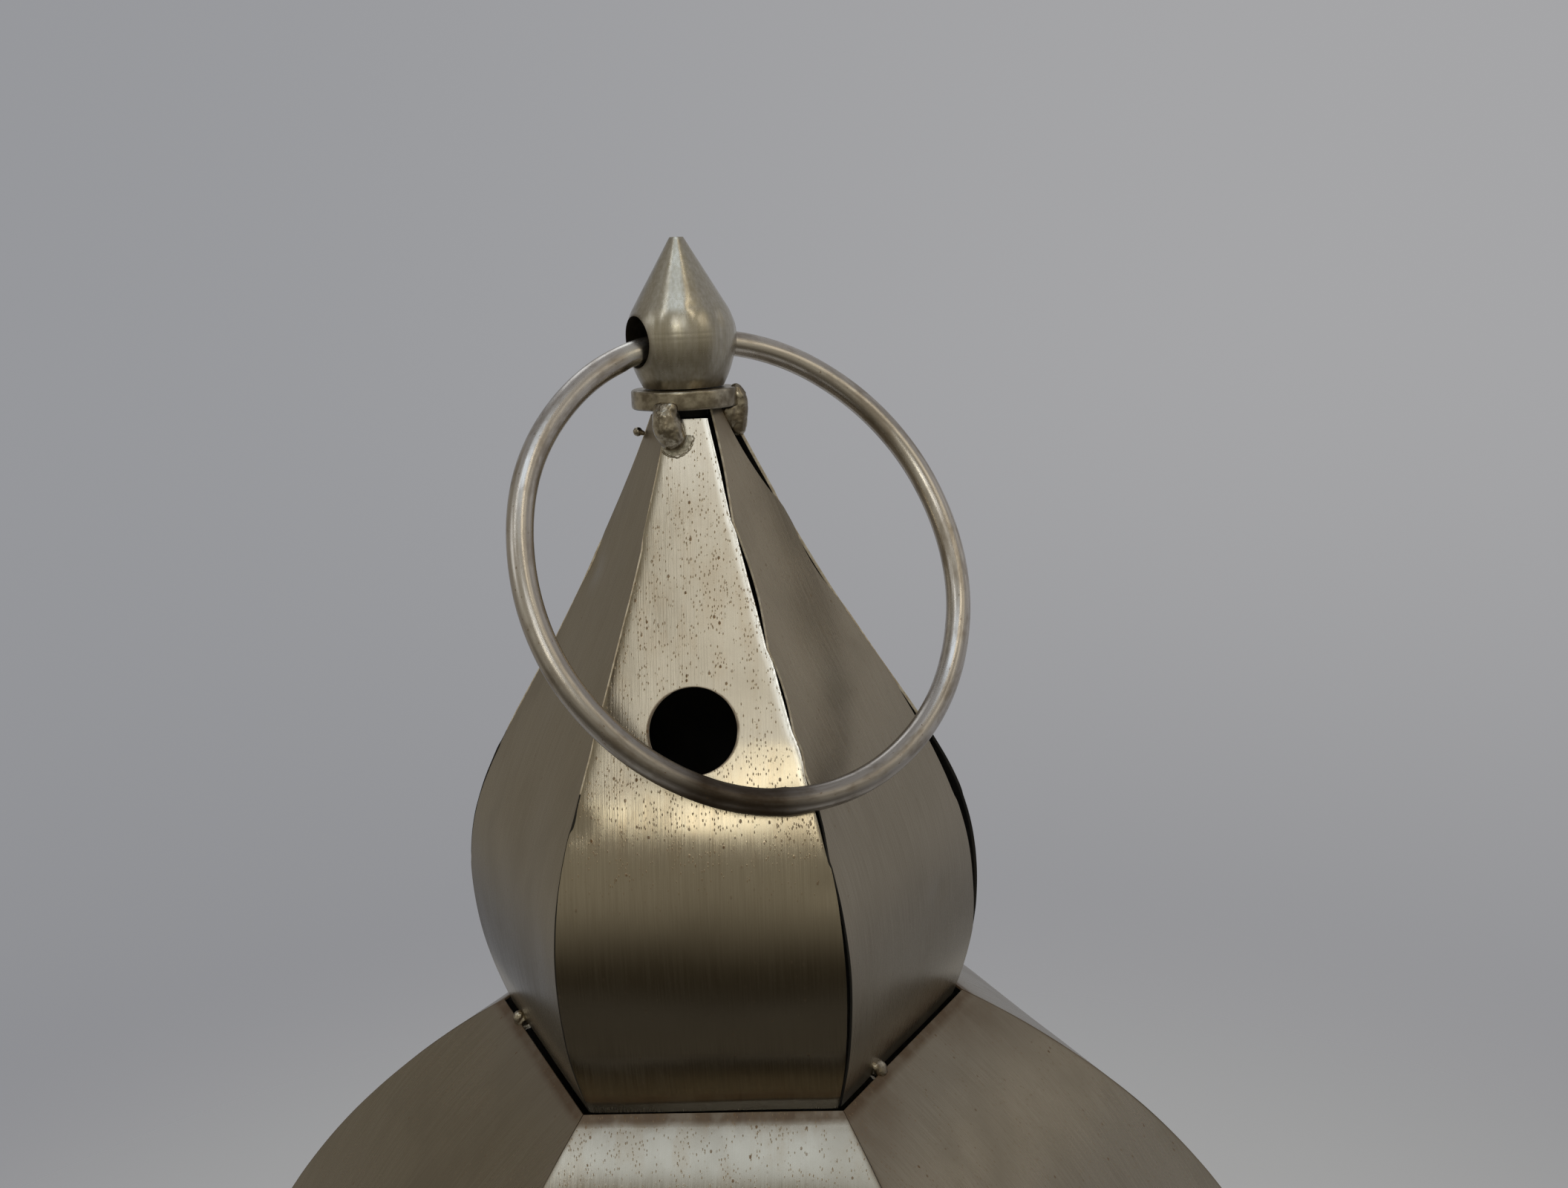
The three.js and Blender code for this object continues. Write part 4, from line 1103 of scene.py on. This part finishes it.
def blob(name, balls, grain, rough):
    """Lumps run together. balls holds x, y, z, radius and a stretch along Z, in millimetres."""
    made = bmesh.new()
    for x, y, z, radius, stretch in balls:
        place = Matrix.Translation(Vector((x, y, z)) * MM) @ Matrix.Diagonal((1, 1, stretch, 1))
        bmesh.ops.create_icosphere(made, subdivisions=3, radius=radius * MM, matrix=place)
    mesh = bpy.data.meshes.new(name)
    made.to_mesh(mesh)
    made.free()
    obj = linked(name, mesh)
    remesh = obj.modifiers.new("join", "REMESH")
    remesh.mode = "VOXEL"
    remesh.voxel_size = grain * MM
    smooth = obj.modifiers.new("flow", "SMOOTH")
    smooth.factor = 0.5
    smooth.iterations = 4
    settle(obj)
    points = points_of(obj) / MM
    normals = np.array([v.normal for v in obj.data.vertices])
    push = [rough * (0.7 * wave(*(p / 1.3)) + 0.5 * wave(*(p / 0.55))) for p in points]
    points += np.array(push)[:, None] * normals
    move_points(obj, points * MM)
    write(obj, "sheet", points * MM)
    shade(obj, 180)
    return obj


# Lugs: direction of the corner, then chains of lumps as reach, place across, height and radius
LUGS = {
    "front_left": (240, [
        [(11.6, 3.1, -3.4, 2.3), (12.0, 3.3, -5.0, 3.2), (12.0, 3.6, -7.2, 3.5), (11.4, 4.2, -9.6, 3.1)],
        [(12.2, 1.6, -3.0, 1.5), (11.8, 4.8, -2.7, 1.6)],
    ]),
    "right": (0, [
        [(12.2, 0.0, -1.2, 1.7), (12.8, 0.0, -2.6, 1.9), (12.9, 0.0, -4.4, 2.0), (12.7, 0.0, -6.4, 2.1),
         (12.4, 0.0, -8.2, 2.2), (12.0, 0.0, -9.9, 2.2)],
        [(10.4, -1.0, -5.6, 2.0), (10.6, -0.6, -7.2, 2.3), (11.2, 0.0, -9.0, 2.2)],
    ]),
    "rear_left": (120, [
        [(12.1, 0.0, -2.6, 2.2), (12.3, 0.0, -4.6, 2.4), (12.0, 0.0, -7.0, 2.5), (11.4, 0.0, -9.8, 2.8)],
    ]),
}
LUG_FILL = 4


def make_lugs():
    for corner, (direction, chains) in LUGS.items():
        ahead = toward(math.radians(direction))
        across = Vector((-ahead.y, ahead.x, 0))
        balls = []
        for lumps in chains:
            for before, after in zip(lumps, lumps[1:]):
                for k in range(LUG_FILL + 1):
                    lump = [a + (b - a) * k / LUG_FILL for a, b in zip(before, after)]
                    at = ahead * lump[0] + across * lump[1]
                    balls.append((at.x + COLLAR_SHIFT, at.y, COLLAR_TOP + lump[2], lump[3], 1.0))
        node = "collar_lug_" + corner
        done(blob(node + "_weld", balls, 0.3, 0.16), node)


# Dried flux and a rim of weld scale in crescents round the front left lug's foot, on the front panel
FLUX_X = -2.9
FLUX_Z = 574.3
FLUX_LUMPS = 30
FLUX_START = -172
FLUX_TURN = 176


def crescent(bands, seed):
    """Lumps along crescents below the lug's foot; bands holds reach and lump radius."""
    line = dome_line()
    balls = []
    for band, (reach, size) in enumerate(bands):
        for k in range(FLUX_LUMPS):
            angle = math.radians(FLUX_START + FLUX_TURN * k / (FLUX_LUMPS - 1))
            spread = reach + 0.4 * wave(k * 0.45, seed + band)
            height = FLUX_Z + spread * math.sin(angle)
            corner = np.interp(height, line[:, 1], line[:, 0])
            sideways = max(FLUX_X + spread * math.cos(angle), -corner / 2 + 0.4)
            radius = size * (1 + 0.3 * wave(k * 1.3, seed + 5.0 + band))
            balls.append((sideways, -corner * FLAT + 0.35 * size, height, radius, 1.0))
    return balls


def make_flux():
    extra(blob("collar_flux", crescent([(2.9, 0.6), (3.4, 0.5)], 3.0), 0.14, 0.06), FLUX)
    extra(blob("collar_scale", crescent([(4.1, 0.28)], 12.0), 0.12, 0.06), MATERIALS["weld_metal"])


# Lumps of a tack: place as shares of the tack's box, rise, radius and stretch
TACK_LUMPS = ((0, 0, 0, 2.2, 1.25), (0.16, 0.12, -1.2, 1.7, 1.0), (-0.14, -0.16, 1.3, 1.5, 1.2))


def make_bead_and_tacks():
    low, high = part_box("weld_bead")
    middle = (low + high) / 2 / MM
    radius = (high.x - low.x) / 2 / MM
    beside = middle + Vector((radius * 0.9, 0.2, -radius * 0.3))
    balls = [(*middle, radius * 0.92, 1.0), (*beside, radius * 0.5, 1.0)]
    done(blob("weld_bead_drop", balls, 0.16, 0.08), "weld_bead")
    for name in ("left", "right", "rear_left", "rear_right"):
        node = "dome_tack_" + name
        low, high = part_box(node)
        middle = (low + high) / 2 / MM
        size = (high - low) / MM
        balls = []
        for x, y, up, radius, stretch in TACK_LUMPS:
            balls.append((middle.x + size.x * x, middle.y + size.y * y, middle.z + up, radius, stretch))
        done(blob(node + "_weld", balls, 0.25, 0.2), node)


# The ring. Angles round it are measured from its top: the weld, where the rod rubs in the hole, and the
# stretch that the hole keeps straight. The darkened stretch lies beside the weld: a burn stain, spread
# wide as painted shade on the ring's lower side.
RING_R = 55.0
ROD_R = 3.0
ROD_SLACK = 0.06
RING_STEPS = 220
ROD_STEPS = 28
WELD_AT = math.radians(-167.5)
RUB_AT = math.radians(-14.0)
HELD = math.radians(24)
BURN_AND_SHADE_BESIDE = 12.0


def make_ring():
    """The ring's rod, bent by hand, with its weld on the lower side."""
    points = points_of(NODES["ring_handle"]) / MM
    middle = points.mean(0)
    normal = np.linalg.svd(points - middle)[2][2]
    if normal[1] < 0:
        normal = -normal
    upright = np.array((0.0, 0.0, 1.0))
    upright -= normal * (upright @ normal)
    upright /= np.linalg.norm(upright)
    sideways = np.cross(normal, upright)
    verts = []
    places = []
    stains = []
    rubs = []
    faces = []
    for i in range(RING_STEPS):
        angle = 2 * math.pi * i / RING_STEPS
        x = math.cos(angle)
        y = math.sin(angle)
        out = upright * x + sideways * y
        free = 1 - bell(turn_from(angle, 0), HELD)
        bend = free * (0.30 * math.sin(2 * angle + 0.6) + 0.22 * wave(2.2 * x, 2.2 * y))
        lean = free * 0.22 * wave(1.8 * x, 1.8 * y, 6.0)
        from_weld = turn_from(angle, WELD_AT) * RING_R
        from_rub = turn_from(angle, RUB_AT) * RING_R
        # Painted shade: the burn stain at the weld is spread wide and set aside to darken the ring's
        # lower side.
        burn_and_shade = from_weld - BURN_AND_SHADE_BESIDE
        stains += [max(min(1.2 * bell(burn_and_shade, 19.0), 0.94), 0.5 * bell(burn_and_shade, 45.0))] * ROD_STEPS
        rubs += [0.9 * bell(from_rub, 2.2)] * ROD_STEPS
        here = i * ROD_STEPS
        ahead = (i + 1) % RING_STEPS * ROD_STEPS
        for k in range(ROD_STEPS):
            turn = 2 * math.pi * k / ROD_STEPS
            u = math.cos(turn)
            v = math.sin(turn)
            swell = bell(from_weld, 3.2) * (0.16 + 0.16 * wave(angle * 30.0, 2 * u, 2 * v))
            flat = 0.25 * bell(from_rub, 1.6) * max(0.0, -u)
            radius = ROD_R - ROD_SLACK + swell - flat
            verts.append(middle + out * (RING_R + bend + radius * u) + normal * (lean + radius * v))
            places.append((angle * RING_R, ROD_R * u, ROD_R * v))
            beside = (k + 1) % ROD_STEPS
            faces.append((here + k, here + beside, ahead + beside, ahead + k))
    obj = new_object("ring_rod", verts, faces)
    outward(obj)
    write(obj, "rod", np.array(places) * MM)
    write(obj, "stain", stains)
    write(obj, "wear_and_highlight", rubs)
    shade(obj, 180)
    done(obj, "ring_handle")


make_finial()
make_washer()
make_lugs()
make_flux()
make_bead_and_tacks()
make_ring()

# Body: frames, posts, panes and door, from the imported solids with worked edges
FRAME_EDGE = 0.5
FINE_EDGE = 0.3
BODY_RUST = 0.45
BODY_STAIN = 0.5
BODY_STAIN_REACH = 5.0
BODY_SLANT = 0.8
TALL = 40.0


def cleaned(made):
    bmesh.ops.remove_doubles(made, verts=made.verts, dist=2e-6)
    bmesh.ops.dissolve_limit(made, angle_limit=math.radians(1.0), verts=made.verts, edges=made.edges)


def worked(node, width, suffix):
    """A copy of a node's mesh with clean faces and softened edges."""
    mesh = bpy.data.meshes.new(node + suffix)
    remade(NODES[node].data, mesh, cleaned)
    obj = linked(node + suffix, mesh)
    shade(obj, 20)
    bevel(obj, width, flat=True)
    return obj


def body_marks(obj, low, high, seed):
    """Own coordinates, rust and end stains for a piece of the body, between two heights."""
    points = points_of(obj) / MM
    x, y, z = points.T
    spread = np.stack([x + y, z + BODY_SLANT * (x - y), np.full(len(points), seed)], axis=1)
    write(obj, "sheet", spread * MM)
    write(obj, "rust", BODY_RUST)
    ends = bell(z - low, BODY_STAIN_REACH) + bell(z - high, BODY_STAIN_REACH)
    write(obj, "stain", BODY_STAIN * ends * min((high - low) / TALL, 1.0))


SHEET_WORK = {
    "top_frame": FRAME_EDGE, "door_frame": FINE_EDGE, "latch": FINE_EDGE,
    "base_plate": FRAME_EDGE, "base_skirt": FRAME_EDGE,
}
for corner in CORNERS:
    SHEET_WORK["post_" + corner] = FINE_EDGE
for index, (node, width) in enumerate(SHEET_WORK.items()):
    piece = worked(node, width, "_sheet")
    body_marks(piece, *heights(node), 3.0 + 5.0 * index)
    done(piece, node)

for node in ["glass_" + side for side in SIDES if side != "front"] + ["door_glass"]:
    piece = worked(node, FINE_EDGE, "_pane")
    write(piece, "sheet", points_of(piece))
    done(piece, node)

# Turned pieces, as profiles of radius and height
TURNED_STAIN = 0.15
DISH_RUST = 0.5
DISH_SQUEEZE = 0.12
FOOT_TOP = 30.1
FOOT = [(0, 0), (8, 0), (11, 4), (11, 8), (6, 13), (6, FOOT_TOP - 3), (8, FOOT_TOP), (0, FOOT_TOP)]
BARREL_R = 3.0
BARREL_BORE_R = 1.6
PIN_R = 1.4
PIN_HEAD_R = 2.4
PIN_HEAD = 1.2
SUNK = 0.3
KNOB_R = 5.0
KNOB_FOOT_R = 4
KNOB_NECK_R = 2.2
KNOB_START = 3.8
KNOB_STEPS = 24
RIVET = [(0, SUNK), (3.6, SUNK), (3.6, 1.6), (2, 1.6), (2, 3.7), (3.6, 3.7)]
RIVET_HEAD = 1.6
DISH_RIVET_R = 5
DISH_RIVET_STEM_R = 2
DISH_RIVET_HEAD = 1.5
CAP_STEPS = 10
DISH_BOTTOM = 32.3
DISH_SHEET = 1.2
DISH_RIM = 12
DISH_STEP = 2


def turned_piece(node, profile, segments, place, suffix="_turning"):
    obj = lathe(node + suffix, profile, segments, place)
    write(obj, "stain", TURNED_STAIN)
    if SLOT_OF[node] == "steel_rod":
        write(obj, "rod", points_of(obj))
    if SLOT_OF[node] == "sheet_steel":
        turn = np.zeros(len(obj.data.vertices) * 3, np.float32)
        obj.data.attributes["turn"].data.foreach_get("vector", turn)
        write(obj, "sheet", turn.reshape(-1, 3) * (1, DISH_SQUEEZE, 1))
        write(obj, "rust", DISH_RUST)
    shade(obj, 45)
    done(obj, node)


def upright_at(node):
    """A matrix for a turned piece on the upright axis through the middle of a node."""
    low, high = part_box(node)
    return Matrix.Translation(Vector(((low.x + high.x) / 2, (low.y + high.y) / 2, 0)))


def facing_front(node):
    """A matrix for a turned piece that points out of the front, from a little behind the node."""
    low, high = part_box(node)
    middle = Vector(((low.x + high.x) / 2, high.y + SUNK * MM, (low.z + high.z) / 2))
    return Matrix.Translation(middle) @ Matrix.Rotation(math.pi / 2, 4, "X")


def cap(radius, start, rise):
    """The profile of a rounded head, from its edge to its middle."""
    angles = [math.pi / 2 * k / CAP_STEPS for k in range(CAP_STEPS)]
    return [(radius * math.cos(a), start + rise * math.sin(a)) for a in angles] + [(0, start + rise)]


def make_hinges():
    for name in ("upper", "lower"):
        for half in ("post", "door"):
            node = "hinge_" + name + "_" + half + "_barrel"
            low, high = heights(node)
            section = [(BARREL_BORE_R, low), (BARREL_R, low), (BARREL_R, high), (BARREL_BORE_R, high)]
            turned_piece(node, closed(section, 0.3), 40, upright_at(node))
        node = "hinge_" + name + "_pin"
        low, high = heights(node)
        under = high - PIN_HEAD
        head = [(PIN_HEAD_R, under), (PIN_HEAD_R, high), (0, high)]
        profile = rounded([(0, low), (PIN_R, low), (PIN_R, under)] + head, 0.3)
        turned_piece(node, profile, 32, upright_at(node), "_rod")


def make_knob():
    start = -math.acos(KNOB_NECK_R / KNOB_R)
    half = KNOB_R / (1 - math.sin(start))
    middle = KNOB_START - half * math.sin(start)
    ball = []
    for k in range(KNOB_STEPS):
        angle = start + (math.pi / 2 - start) * k / KNOB_STEPS
        ball.append((KNOB_R * math.cos(angle), middle + half * math.sin(angle)))
    neck = rounded([(0, SUNK), (KNOB_FOOT_R, SUNK), (KNOB_NECK_R, 1.5), ball[0]], 0.4)
    profile = neck[:-1] + ball + [(0, middle + half)]
    turned_piece("door_knob", profile, 48, facing_front("door_knob"))


def make_rivets():
    profile = rounded(RIVET, 0.2)[:-1] + cap(*RIVET[-1], RIVET_HEAD)
    turned_piece("latch_rivet", profile, 40, facing_front("latch_rivet"), "_rod")
    low, high = heights("dish_rivet")
    under = low + DISH_RIVET_HEAD
    over = high - DISH_RIVET_HEAD
    stem = [(DISH_RIVET_STEM_R, under), (DISH_RIVET_STEM_R, over), (DISH_RIVET_R, over)]
    foot = rounded([(0, low), (DISH_RIVET_R, low), (DISH_RIVET_R, under)] + stem, 0.3)
    profile = foot[:-1] + cap(DISH_RIVET_R, over, DISH_RIVET_HEAD)
    turned_piece("dish_rivet", profile, 40, Matrix.Identity(4), "_rod")


def make_dish():
    low = DISH_BOTTOM
    floor = low + DISH_SHEET
    rim = low + DISH_RIM
    under = [(2.4, low), (8.2, low), (10.2, low + DISH_STEP), (41, low + DISH_STEP)]
    over = [(39.8, floor + DISH_STEP), (9, floor + DISH_STEP), (7, floor), (2.4, floor)]
    section = under + [(46, rim), (44.8, rim)] + over
    turned_piece("candle_dish", closed(section, 0.9, 4), 96, Matrix.Identity(4), "_pressing")


for corner in CORNERS:
    turned_piece("foot_" + corner, rounded(FOOT, 1.6, 5), 48, upright_at("foot_" + corner))
make_hinges()
make_knob()
make_rivets()
make_dish()

# Weld tacks that join the posts to the base plate and the top frame: height and radius at each end
TACK_OUT = 146.6
TACK_ASIDE = 6.2
TACK_STEP = 1.3
TACK_STRETCH = 0.7
TACK_ENDS = ((32.9, 1.7), (281.6, 1.5))


def corner_tacks():
    balls = []
    for k in range(len(CORNERS)):
        angle = math.radians(60 * k + FIRST_CORNER)
        for side in (-1, 1):
            along = toward(angle + math.pi / 2) * side
            at = toward(angle) * TACK_OUT + along * TACK_ASIDE
            beside = at + along * TACK_STEP
            for height, radius in TACK_ENDS:
                balls.append((at.x, at.y, height, radius, TACK_STRETCH))
                balls.append((beside.x, beside.y, height, radius * 0.75, TACK_STRETCH))
    extra(blob("post_tacks", balls, 0.3, 0.18), MATERIALS["weld_metal"])


corner_tacks()

# Floor, light and background. The floor fades out between two distances, in metres.
FLOOR_RINGS = (0, 300, 600, 1000, 1600, 2400, 4000)
FLOOR_GREY = (0.80, 0.80, 0.80, 1)
FLOOR_FADE = (0.34, 0.95)


def make_floor():
    floor = lathe("floor", [(radius, 0) for radius in FLOOR_RINGS], 96, Matrix.Identity(4))
    s = new_shader("pale_floor")
    fade = s.ramp(s.length(s.add("TexCoord", {}, "Object")), *FLOOR_FADE)
    s.set(color=FLOOR_GREY, metallic=0.0, rough=0.9)
    surface = s.tree.nodes["Principled BSDF"].outputs[0]
    both = s.add("MixShader", {0: fade, 1: surface, 2: s.add("BsdfTransparent", {})})
    s.put(s.tree.nodes["Material Output"].inputs["Surface"], both)
    floor.data.materials.append(s.owner)


WALL_RIGHT = (0.378, 0.378, 0.388, 1)
WALL_LEFT = (0.305, 0.310, 0.328, 1)
WALL_LOW = (0.245, 0.247, 0.262, 1)
ROOM_LEFT = (0.285, 0.266, 0.230, 1)
ROOM_HIGH = (0.395, 0.372, 0.310, 1)
ROOM_LOW = (0.085, 0.074, 0.054, 1)
COOL = (0.87, 0.93, 1.0)
WARM = (1.0, 0.90, 0.72)
GLOW = (1.0, 0.98, 0.84)
SKY = (0.64, 0.79, 1.0)
LIGHT_TARGET = Vector((0, -0.045, 0.50))
# Soft boxes: degrees to the right of the front, degrees up, distance, width and height in metres,
# radiance and colour
LAMPS = {
    "front_box": (-3.5, 36.8, 1.5, (0.44, 0.379), 1.35, COOL),
    "front_strip": (-1.0, 27.2, 1.42, (0.44, 0.11), 4.2, GLOW),
    "left_strip": (-47, 54, 1.4, (0.09, 0.45), 4.0, COOL),
    "left_box": (-72, 30, 1.5, (0.50, 0.50), 0.9, COOL),
    "right_strip": (46, 56, 1.4, (0.15, 0.45), 2.4, WARM),
    "edge_strip": (17, 37, 1.5, (0.17, 0.36), 2.4, COOL),
    "right_box": (64, 34, 1.5, (0.55, 0.50), 0.62, WARM),
    "rear_box": (112, 20, 1.5, (0.55, 0.40), 0.16, WARM),
    "back_box": (-165, 44, 1.7, (1.0, 0.7), 1.1, COOL),
    "top_box": (-10, 74, 1.3, (0.75, 0.39), 1.6, SKY),
}


def soft_box(name, azimuth, elevation, distance, size, radiance, color):
    """A rectangular lamp whose face has a given radiance, turned to the dome."""
    side = math.radians(azimuth)
    up = math.radians(elevation)
    away = Vector((math.sin(side) * math.cos(up), -math.cos(side) * math.cos(up), math.sin(up)))
    data = bpy.data.lights.new(name, "AREA")
    data.shape = "RECTANGLE"
    data.size, data.size_y = size
    data.energy = radiance * size[0] * size[1] * math.pi
    data.color = color
    lamp = linked(name, data)
    turn = (-away).to_track_quat("-Z", "Y").to_matrix().to_4x4()
    lamp.matrix_world = Matrix.Translation(LIGHT_TARGET + away * distance) @ turn
    lamp.visible_camera = False


def make_world():
    """A pale wall behind, and a room in front that darkens towards its floor."""
    world = bpy.data.worlds.new("studio")
    s = Shader(world)
    direction = s.add("TexCoord", {}, "Generated")
    x, y, z = [s.part(direction, axis) for axis in "XYZ"]
    wall = s.mix(s.ramp(x, -0.6, 0.3), WALL_LEFT, WALL_RIGHT)
    wall = s.mix(s.ramp(z, -0.75, -0.1), WALL_LOW, wall)
    wall = s.mix(s.ramp(x, -0.85, -0.55), ROOM_LEFT, wall)
    room = s.mix(s.ramp(z, -0.45, 0.2), ROOM_LOW, ROOM_HIGH)
    color = s.mix(s.ramp(y, -0.45, 0.1), room, wall)
    s.put(s.tree.nodes["Background"].inputs["Color"], color)
    bpy.context.scene.world = world


make_floor()
make_world()
for name, lamp in LAMPS.items():
    soft_box(name, *lamp)
bpy.context.scene.view_settings.view_transform = "Standard"
